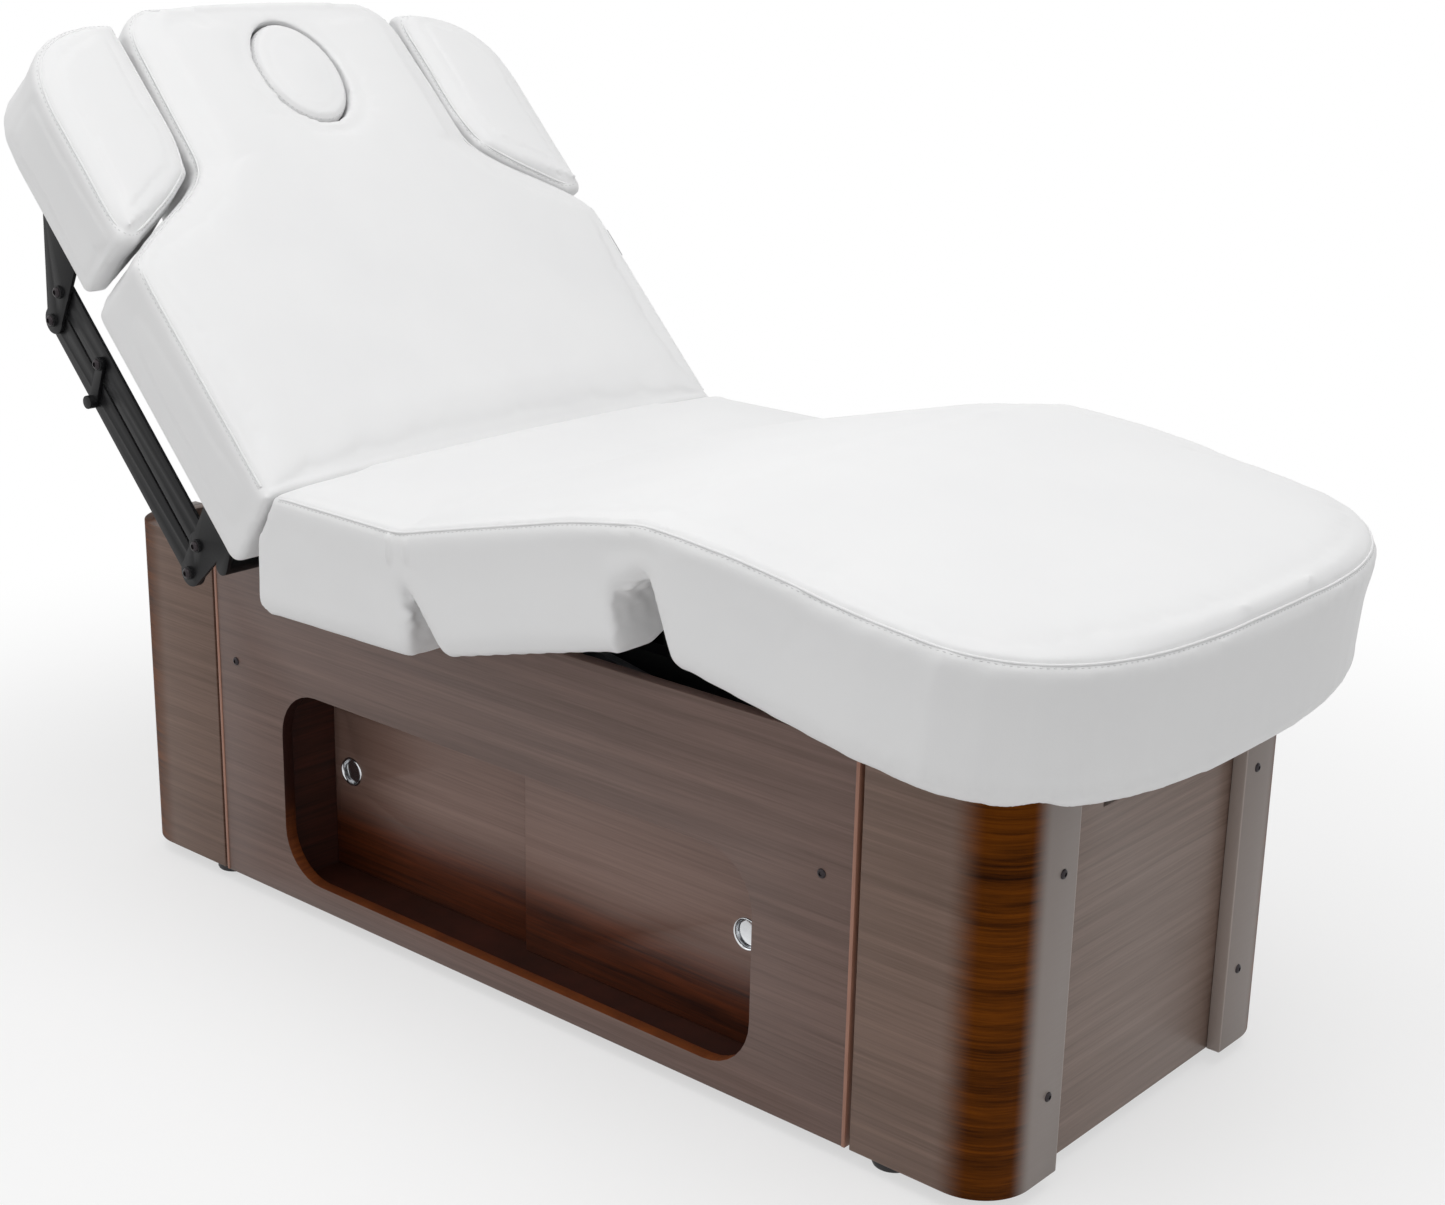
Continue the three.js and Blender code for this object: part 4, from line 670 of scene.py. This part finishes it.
def top_edge(skin, rays, inset, reach=1.0):
    """The line where a skin turns from its top into its wall. Each ray holds a start, its aim at the
    wall and the way up there; each row of the line holds a place and the way the skin faces."""
    walls = [(*skin.ray_cast(start, aim, reach)[:2], aim, up) for start, aim, up in rays]
    walls = [wall for wall in walls if wall[0] is not None]
    outs = []
    for place, facing, aim, up in walls:
        out = (facing - up * facing.dot(up)).normalized()
        outs.append(out if out.dot(aim) < 0 else -out)
    line = []
    for i, (place, facing, aim, up) in enumerate(walls):
        out = sum(outs[max(0, i - 2):i + 3], Vector()).normalized()
        top = skin.ray_cast(place - out * (inset + 0.003) + up * 0.2, -up)[0]
        if top is None:
            continue
        centre = place - out * inset + up * ((top - place).dot(up) - inset)
        slant = (out + up).normalized()
        seam = skin.ray_cast(centre + slant * 0.06, -slant)[0]
        if seam is not None:
            line.append((*seam, *slant))
    return np.array(line)


def even(line, closed=False):
    """The same line in steps of 3.6 mm, with its small kinks eased."""
    gap = 0.0036
    if closed:
        line = np.vstack([line, line[:1]])
    run = np.concatenate([[0], np.cumsum(np.linalg.norm(np.diff(line[:, :3], axis=0), axis=1))])
    at = np.linspace(0, run[-1], int(run[-1] / gap) + 1)[:-1 if closed else None]
    made = np.stack([np.interp(at, run, line[:, i]) for i in range(6)], axis=1)
    for _ in range(40):
        before, after = np.roll(made, 1, axis=0), np.roll(made, -1, axis=0)
        if not closed:
            before[0], after[-1] = made[0], made[-1]
        made = (before + 2 * made + after) / 4
    made[:, 3:] /= np.linalg.norm(made[:, 3:], axis=1, keepdims=True)
    return made


def pinched(made, line, width=0.0042, depth=0.0016):
    """Draws a skin in along its seam, and returns the new skin."""
    near = KDTree(len(line))
    for i, row in enumerate(line):
        near.insert(row[:3], i)
    near.balance()
    points = coordinates(made)
    away = np.array([near.find(point)[2] for point in points])
    points -= normals(made) * (depth * np.exp(-(away / width) ** 2))[:, None]
    put(made, points)
    return skin_of(made)


def sewn(name, skin, line, closed=False, row=0.0034):
    """A round welt lying in the seam, and stitches beside it on the wall. A row below zero is for a
    seam that runs the other way round its cushion."""
    radius, sunk = 0.0015, 0.0008
    points, facing = line[:, :3], line[:, 3:]
    along = np.roll(points, -1, axis=0) - np.roll(points, 1, axis=0)
    if not closed:
        along[0], along[-1] = points[1] - points[0], points[-1] - points[-2]
    along /= np.linalg.norm(along, axis=1, keepdims=True)
    across = np.cross(along, facing)
    across /= np.linalg.norm(across, axis=1, keepdims=True)
    facing = np.cross(across, along)
    sides = 8
    turns = np.linspace(0, 2 * np.pi, sides, endpoint=False)
    offset = np.cos(turns)[:, None] * across[:, None] + np.sin(turns)[:, None] * facing[:, None]
    tube = (points - facing * sunk)[:, None] + radius * offset
    places = [tube.reshape(-1, 3)]
    count = len(points)
    faces = []
    for i in range(count if closed else count - 1):
        here, there = i * sides, (i + 1) % count * sides
        for k in range(sides):
            m = (k + 1) % sides
            faces.append((here + k, there + k, there + m, here + m))
    if not closed:
        faces.append(tuple(range(sides)))
        faces.append(tuple(range((count - 1) * sides, count * sides))[::-1])
    welt_faces = len(faces)
    work = bmesh.new()
    bmesh.ops.create_icosphere(work, subdivisions=1, radius=1)
    work.verts.index_update()
    stitch = np.array([vert.co[:] for vert in work.verts]) * (0.0021, 0.0006, 0.0005)
    stitch_faces = [tuple(vert.index for vert in face.verts) for face in work.faces]
    work.free()
    start = count * sides
    for i in range(1, count - 1, 2):
        place, normal, _, _ = skin.find_nearest(Vector(points[i] + across[i] * row))
        normal = np.array(normal)
        sideways = np.cross(normal, along[i])
        sideways /= np.linalg.norm(sideways)
        axes = np.stack([np.cross(sideways, normal), sideways, normal])
        places.append(np.array(place) + stitch @ axes)
        faces += [tuple(start + k for k in face) for face in stitch_faces]
        start += len(stitch)
    mesh = bpy.data.meshes.new(name)
    mesh.from_pydata(np.vstack(places).tolist(), [], faces)
    mesh.materials.append(vinyl)
    mesh.materials.append(thread)
    for i, face in enumerate(mesh.polygons):
        face.use_smooth = True
        face.material_index = 0 if i < welt_faces else 1
    made = bpy.data.objects.new(name, mesh)
    bpy.context.scene.collection.objects.link(made)
    return made


thigh_pose = tilted(hinge, rise)
leg_pose = tilted(knee, -fall)
seat_pose = tilted(hinge, 0)
valley = hinge.x - 0.0083
cushions = (("seat", seat_pose), ("thigh", thigh_pose), ("leg", leg_pose))
shapes = [deeper(f"{part}_cushion", pose, 0, under_stretch) for part, pose in cushions]
rings = []
for x in (-0.045, -0.034, -0.022, -0.010, 0.0, 0.010, 0.022, 0.034, 0.046):
    level = 0.069 + max(0, x) * math.tan(rise)
    rings.append(section(valley + x, hinge.z + level, hinge.z + 0.021))
shapes.append(bridge(rings))
# A fan of rings over the knee closes the top of its notch, like a cover drawn over it
knee_along = Vector((0.392, 0, 0))
rings = []
for degrees in range(-3, 73, 5):
    ring = section(0, 0.061, 0.002, math.radians(degrees))
    rings.append([tuple(thigh_pose @ (Vector(p) + knee_along)) for p in ring])
shapes.append(bridge(rings))
mattress = gathered("mattress", shapes, 0.007, 3)
# Round the nose the top runs down to the seam without a step
nose_from, nose_above, nose_rounds = 0.56, 0.047, 14
work = bmesh.new()
work.from_mesh(mattress.data)
to_flat = leg_pose.inverted()
soft = [v for v in work.verts if v.co.x > nose_from and (to_flat @ v.co).z > nose_above]
for _ in range(nose_rounds):
    bmesh.ops.smooth_vert(work, verts=soft, factor=0.5, use_axis_x=True, use_axis_y=True,
                          use_axis_z=True)
work.to_mesh(mattress.data)
work.free()
puffed(mattress, 0.004, 0.0065)
subdivided(mattress)

# Round the outside the stuffed sides hang a little below the boards, clear of the cabinet's walls.
points = coordinates(mattress)
outward = normals(mattress)
level = points[:, 2] - hinge.z
for pose, pivot in ((thigh_pose, hinge), (leg_pose, knee)):
    level = np.where(points[:, 0] > pivot.x, carried(points, pose.inverted())[:, 2], level)
past_wall = np.maximum(np.abs(points[:, 1]) - wall_half, 0)
past_end = np.maximum(points[:, 0] - middle - base_half, 0)
rim = np.clip((np.hypot(past_wall, past_end) - 0.018) / 0.035, 0, 1)
hang = np.interp(points[:, 0], (-0.30, -0.03, 0.33, 0.60, 0.87), (0.024, 0.018, 0.012, 0.020, 0.028))
lower = np.clip((0.02 - level) / 0.09, 0, 1)
points[:, 2] -= hang * rim * rim * (3 - 2 * rim) * lower
# At the crease the seat's upper edge presses back against the backrest.
press = np.clip((-0.235 - points[:, 0]) / 0.030, 0, 1) * np.clip((points[:, 2] - 0.590) / 0.040, 0, 1)
points[:, 0] -= 0.0045 * press
# The cover puckers where it bends: wrinkles on the walls of both notches, and two pull marks under the
# top seam above the thigh hinge.
side_face = np.clip((np.abs(points[:, 1]) - 0.400) / 0.012, 0, 1)
mark_width, wrinkle_depth, wrinkle_reach = 0.0042, 0.0032, 0.050
for x, low_z, high_z, depth in ((-0.052, 0.592, 0.636, 0.0040), (-0.022, 0.600, 0.634, 0.0028)):
    near = np.exp(-((points[:, 0] - x) / mark_width) ** 2)
    tall = np.clip((points[:, 2] - low_z) / 0.010, 0, 1)
    tall = tall * np.clip((high_z - points[:, 2]) / 0.006, 0, 1)
    points += outward * (near * tall * side_face * depth)[:, None]
for notch_x, notch_z in ((-0.021, 0.545), (0.328, 0.635)):
    away = np.hypot(points[:, 0] - notch_x, points[:, 2] - notch_z)
    share = np.clip(1 - away / wrinkle_reach, 0, 1)
    wave = np.sin(points[:, 1] * 210 + np.sin(points[:, 2] * 160) * 1.7)
    wave = wave * np.sin(points[:, 2] * 260 + points[:, 1] * 45)
    inward = 1 - np.clip((np.abs(outward[:, 1]) - 0.5) / 0.3, 0, 1)
    points += outward * (wave * share * inward * wrinkle_depth)[:, None]
put(mattress, points)

# The seam runs along the near side, round the nose and back along the far side.
skin = skin_of(mattress)
up_z = Vector((0, 0, 1))
leg_turn = leg_pose.to_3x3()
sides = {-1: [], 1: []}
for hand in sides:
    for x in np.linspace(-0.266, 0.640, 182):
        pose = seat_pose if x < hinge.x else thigh_pose if x < knee.x else leg_pose
        up = pose.to_3x3() @ up_z
        top = skin.ray_cast(Vector((x, hand * 0.395, 1.3)), -up_z)[0]
        sides[hand].append((Vector((x, hand * 0.7, top.z - 0.024)), Vector((0, -hand, 0)), up))
nose = []
for angle in np.linspace(-1.5, 1.5, 91):
    outward = Vector((math.cos(angle), math.sin(angle), 0))
    start = leg_pose @ (Vector((0.292, 0, 0.040)) + outward * 0.75)
    nose.append((start, leg_turn @ -outward, leg_turn @ up_z))
side_lines = {hand: top_edge(skin, rays, 0.012, 0.33) for hand, rays in sides.items()}
seam = even(np.vstack([side_lines[-1], top_edge(skin, nose, 0.012), side_lines[1][::-1]]))
skin = pinched(mattress, seam)

# The cover is cut in two at mid-thigh, where both halves keep to the thigh, so the cut never shows.
cut_at = thigh_pose @ Vector((0.196, 0, 0))
cut_facing = thigh_pose.to_3x3() @ Vector((1, 0, 0))
thigh_bend = {"start": hinge + Vector((-0.045, 0, 0)), "end": hinge + Vector((0.045, 0, 0))}
knee_bend = {"start": knee + Vector((-0.050, 0, 0.010)), "end": knee + Vector((0.050, 0, -0.006))}
beyond = np.array([(Vector(row[:3]) - cut_at).dot(cut_facing) > 0 for row in seam])
first, last = int(np.argmax(beyond)), len(seam) - int(np.argmax(beyond[::-1]))
for name, part in (("seat_welt_near", seam[:first + 1]), ("seat_welt_far", seam[last - 1:])):
    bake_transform(sewn(name, skin, part))
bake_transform(sewn("leg_welt", skin, seam[first:last]))
for name, keep_low, bodies, bend in (
        ("mattress_seat", True, ("carriage", "thigh"), thigh_bend),
        ("mattress_leg", False, ("thigh", "leg"), knee_bend)):
    part = bpy.data.objects.new(name, mattress.data.copy())
    bpy.context.scene.collection.objects.link(part)
    work = bmesh.new()
    work.from_mesh(part.data)
    whole = work.verts[:] + work.edges[:] + work.faces[:]
    cut = bmesh.ops.bisect_plane(work, geom=whole, plane_co=cut_at, plane_no=cut_facing, dist=0.00001,
                                 clear_outer=keep_low, clear_inner=not keep_low)
    rim = [e for e in cut["geom_cut"] if isinstance(e, bmesh.types.BMEdge)]
    bmesh.ops.edgeloop_fill(work, edges=rim)
    for edge in rim:
        edge.smooth = False
    work.to_mesh(part.data)
    work.free()
    for face in part.data.polygons:
        face.use_smooth = True
    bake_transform(part)
    if keep_low:
        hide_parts("seat_cushion", "seat_board", "thigh_cushion", "thigh_board")
    else:
        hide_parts("leg_cushion", "leg_board")
bpy.data.objects.remove(mattress)

# BACKREST
# The wide lower part narrows at the shoulders to the neck and head. The crease against the seat is
# slanted, and a removable plug fills the face opening.
back_mid, back_stretch = 0.030, 0.0465 / 0.0327
plug_x = -0.6727


def oval_share(local, half_long, half_wide):
    """How far out from the face opening's middle each point lies, 1 on the oval."""
    return np.sqrt(((local[:, 0] - plug_x) / half_long) ** 2 + (local[:, 1] / half_wide) ** 2)


backrest = gathered("backrest", [deeper("back_cushion", back_pose, back_mid, back_stretch)], 0.0065, 3)
puffed(backrest, 0.004, 0.0065)
subdivided(backrest)
local = carried(coordinates(backrest), back_pose.inverted())
# The opening's wall stays outside its oval, and the lower end presses back against the seat
oval = oval_share(local, 0.0900, 0.0720)
inside = oval < 1
local[inside, 0] = plug_x + (local[inside, 0] - plug_x) / np.maximum(oval[inside], 0.01)
local[inside, 1] = local[inside, 1] / np.maximum(oval[inside], 0.01)
press = np.clip((local[:, 0] + 0.090) / 0.030, 0, 1) * np.clip((local[:, 2] - 0.055) / 0.030, 0, 1)
local[:, 0] += 0.0035 * press
put(backrest, carried(local, back_pose))
skin = skin_of(backrest)
back_turn = back_pose.to_3x3()
back_up = back_turn @ up_z
back_low = -0.0477
head_x = back_low - 0.701


def back_ray(x, y, out_x, out_y, level=0.087, away=0.3):
    """A ray at the wall from outside, given in the back's flat frame with the way the wall faces."""
    outward = Vector((out_x, out_y, 0))
    return back_pose @ (Vector((x, y, level)) + outward * away), back_turn @ -outward, back_up


near_side = [back_ray(back_low - s, -0.42, 0, -1) for s in np.linspace(0.004, 0.698, 140)]
far_side = [back_ray(back_low - s, 0.42, 0, 1) for s in np.linspace(0.698, 0.004, 140)]
near_corner = [back_ray(head_x, -0.177, -math.sin(a), -math.cos(a)) for a in np.linspace(0.06, 1.5, 14)]
far_corner = [back_ray(head_x, 0.177, -math.sin(a), math.cos(a)) for a in np.linspace(1.5, 0.06, 14)]
head_end = [back_ray(-0.8, y, -1, 0) for y in np.linspace(-0.172, 0.172, 40)]
seam = even(top_edge(skin, near_side + near_corner + head_end + far_corner + far_side, 0.012))
skin = pinched(backrest, seam)
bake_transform(sewn("back_welt", skin, seam, row=-0.0034))
# A folded blank tab of grey tape, 50 mm long, stands out of the far seam
tape, owner, shader = tree("grey_tape")
two_tone(owner, shader, noise(owner, (40, 40, 40), 60, 3), (0.20, 0.20, 0.205), (0.42, 0.42, 0.425))
shader.inputs["Roughness"].default_value = 0.75
up_seam = back_low - carried(seam[:, :3], back_pose.inverted())[:, 0]
fold = ((-0.004, -0.001), (0.008, -0.0012), (0.0098, 0.0), (0.008, 0.0012), (-0.004, 0.001))
tape_rings = []
for row in seam[(seam[:, 1] > 0) & (up_seam > 0.264) & (up_seam < 0.314)]:
    root = Vector(row[:3]) - back_up * 0.006
    ring = []
    for out, lift in fold:
        ring.append(tuple(root + Vector((0, 1, 0)) * out + back_up * lift))
    tape_rings.append(ring)
tape_points, tape_faces = bridge(tape_rings)
work = bmesh.new()
corners = [work.verts.new(point) for point in tape_points]
for face in tape_faces:
    work.faces.new([corners[i] for i in face])
bmesh.ops.recalc_face_normals(work, faces=work.faces)
close(work, "blank_tab_far", tape, "back")
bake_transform(backrest)
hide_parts("back_cushion", "back_board")

# FACE PLUG
# An oval stopper of the same leatherette, with a low crown and a seam near its rim. Its wall stays just
# inside the opening's.
stopper = nodes["face_plug"]
plug_shape = (coordinates(stopper).tolist(), [tuple(p.vertices) for p in stopper.data.polygons])
plug = gathered("face_opening_plug", [plug_shape], 0.004, 2)
puffed(plug, 0.002, 0.0022)
subdivided(plug)
local = carried(coordinates(plug), back_pose.inverted())
oval = oval_share(local, 0.0886, 0.0706)
outside = oval > 1
local[outside, 0] = plug_x + (local[outside, 0] - plug_x) / oval[outside]
local[outside, 1] = local[outside, 1] / oval[outside]
put(plug, carried(local, back_pose))
turns = np.linspace(0, 2 * np.pi, 90, endpoint=False)
round_rays = [back_ray(plug_x, 0, math.cos(a), math.sin(a), 0.118) for a in turns]
seam = even(top_edge(skin_of(plug), round_rays, 0.006), closed=True)
skin = pinched(plug, seam, 0.0025, 0.0008)
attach(sewn("plug_welt", skin, seam, closed=True), "plug")
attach(plug, "plug")
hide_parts("face_plug")

# ARM WINGS
# Two soft wings beside the head, with a rounded outer corner. The slanted inner end of each is drawn a
# little closer to the shoulder than the solid's.
for side, hand in (("near", -1), ("far", 1)):
    pad = deeper(f"wing_cushion_{side}", back_pose, back_mid, back_stretch)
    wing = gathered(f"arm_wing_{side}", [pad], 0.005, 3)
    puffed(wing, 0.003, 0.0045)
    subdivided(wing)
    local = carried(coordinates(wing), back_pose.inverted())
    local[:, 0] += 0.011 * np.clip((local[:, 0] + 0.60) / 0.12, 0, 1)
    put(wing, carried(local, back_pose))
    turns = np.linspace(0, 2 * np.pi, 150, endpoint=False)
    round_rays = [back_ray(-0.6127, hand * 0.334, math.cos(a), math.sin(a), away=0.6) for a in turns]
    seam = even(top_edge(skin_of(wing), round_rays, 0.011), closed=True)
    skin = pinched(wing, seam)
    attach(sewn(f"wing_welt_{side}", skin, seam, closed=True), f"wing_{side}")
    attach(wing, f"wing_{side}")
    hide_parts(f"wing_cushion_{side}", f"wing_board_{side}")

# SETTING
# A plain pale floor that keeps the shadow and turns into the white surround further out, with soft
# lamps and a camera at the photo's viewing angle.
def seen_directly(owner):
    """A mask that is 1 for the camera, mirrors and glass, and 0 for the light that the object takes."""
    path = node(owner, "ShaderNodeLightPath").outputs
    inputs = {0: path["Is Camera Ray"], 1: path["Is Glossy Ray"]}
    either = node(owner, "ShaderNodeMath", inputs, operation="MAXIMUM").outputs[0]
    inputs = {0: either, 1: path["Is Transmission Ray"]}
    return node(owner, "ShaderNodeMath", inputs, operation="MAXIMUM").outputs[0]


floor_mesh = bpy.data.meshes.new("floor")
work = bmesh.new()
bmesh.ops.create_grid(work, x_segments=1, y_segments=1, size=90)
work.to_mesh(floor_mesh)
work.free()
ground = bpy.data.objects.new("floor", floor_mesh)
bpy.context.scene.collection.objects.link(ground)
paper, owner, shader = tree("pale_floor")
two_tone(owner, shader, noise(owner, (1, 1, 1), 3, 2), (0.91, 0.91, 0.91), (0.93, 0.93, 0.93))
shader.inputs["Roughness"].default_value = 0.9
shader.inputs["Specular IOR Level"].default_value = 0.0
far_off = node(owner, "ShaderNodeVectorMath", {0: placed(owner, (1, 1, 0))}, operation="LENGTH")
inputs = {"Value": far_off.outputs["Value"], "From Min": 1.0, "From Max": 2.1, "To Min": 0.6}
fade = node(owner, "ShaderNodeMapRange", inputs, interpolation_type="SMOOTHSTEP")
glow = node(owner, "ShaderNodeEmission", {"Color": (1, 1, 1, 1), "Strength": 1})
inputs = {0: fade.outputs["Result"], 1: seen_directly(owner)}
share = node(owner, "ShaderNodeMath", inputs, operation="MULTIPLY")
inputs = {0: share.outputs[0], 1: shader.outputs[0], 2: glow.outputs[0]}
joined = node(owner, "ShaderNodeMixShader", inputs)
owner.links.new(joined.outputs[0], owner.nodes["Material Output"].inputs["Surface"])
floor_mesh.materials.append(paper)
ground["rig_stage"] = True

surround = bpy.data.worlds.new("white_surround")
bpy.context.scene.world = surround
surround.use_nodes = True
owner = surround.node_tree
owner.nodes.clear()
dim = node(owner, "ShaderNodeBackground", {"Color": (1, 1, 1, 1), "Strength": 0.50})
bright = node(owner, "ShaderNodeBackground", {"Color": (1, 1, 1, 1), "Strength": 1})
inputs = {0: seen_directly(owner), 1: dim.outputs[0], 2: bright.outputs[0]}
joined = node(owner, "ShaderNodeMixShader", inputs)
node(owner, "ShaderNodeOutputWorld", {"Surface": joined.outputs[0]})
for name, place, aim, size, power in (
        ("key", (0.5, -0.7, 3.5), (0.0, 0, 0.4), 3.0, 48),
        ("fill", (-2.6, -2.4, 2.4), (0, 0, 0.5), 2.4, 14),
        ("back", (1.2, 0.5, 3.6), (-0.4, 0, 0.8), 2.0, 13)):
    lamp = bpy.data.lights.new(name, "AREA")
    lamp.shape = "SQUARE"
    lamp.size = size
    lamp.energy = power
    held = bpy.data.objects.new(name, lamp)
    bpy.context.scene.collection.objects.link(held)
    held.location = place
    held.rotation_euler = (Vector(aim) - Vector(place)).to_track_quat("-Z", "Y").to_euler()

lens = bpy.data.cameras.new("photo_view")
lens.sensor_width = 36
lens.lens = 56.54
eye = bpy.data.objects.new("photo_view", lens)
bpy.context.scene.collection.objects.link(eye)
right = Vector((0.7565373, 0.65361637, 0.02090355))
up = Vector((-0.21022573, 0.21281174, 0.95420978))
forward = Vector((-0.61923862, 0.72628975, -0.29840699))
turn = Matrix((right, up, -forward)).transposed()
eye.matrix_world = Matrix.Translation((1.89677, -2.0978, 1.3528)) @ turn.to_4x4()
bpy.context.scene.camera = eye
bpy.context.scene.view_settings.view_transform = "Standard"

low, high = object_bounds()
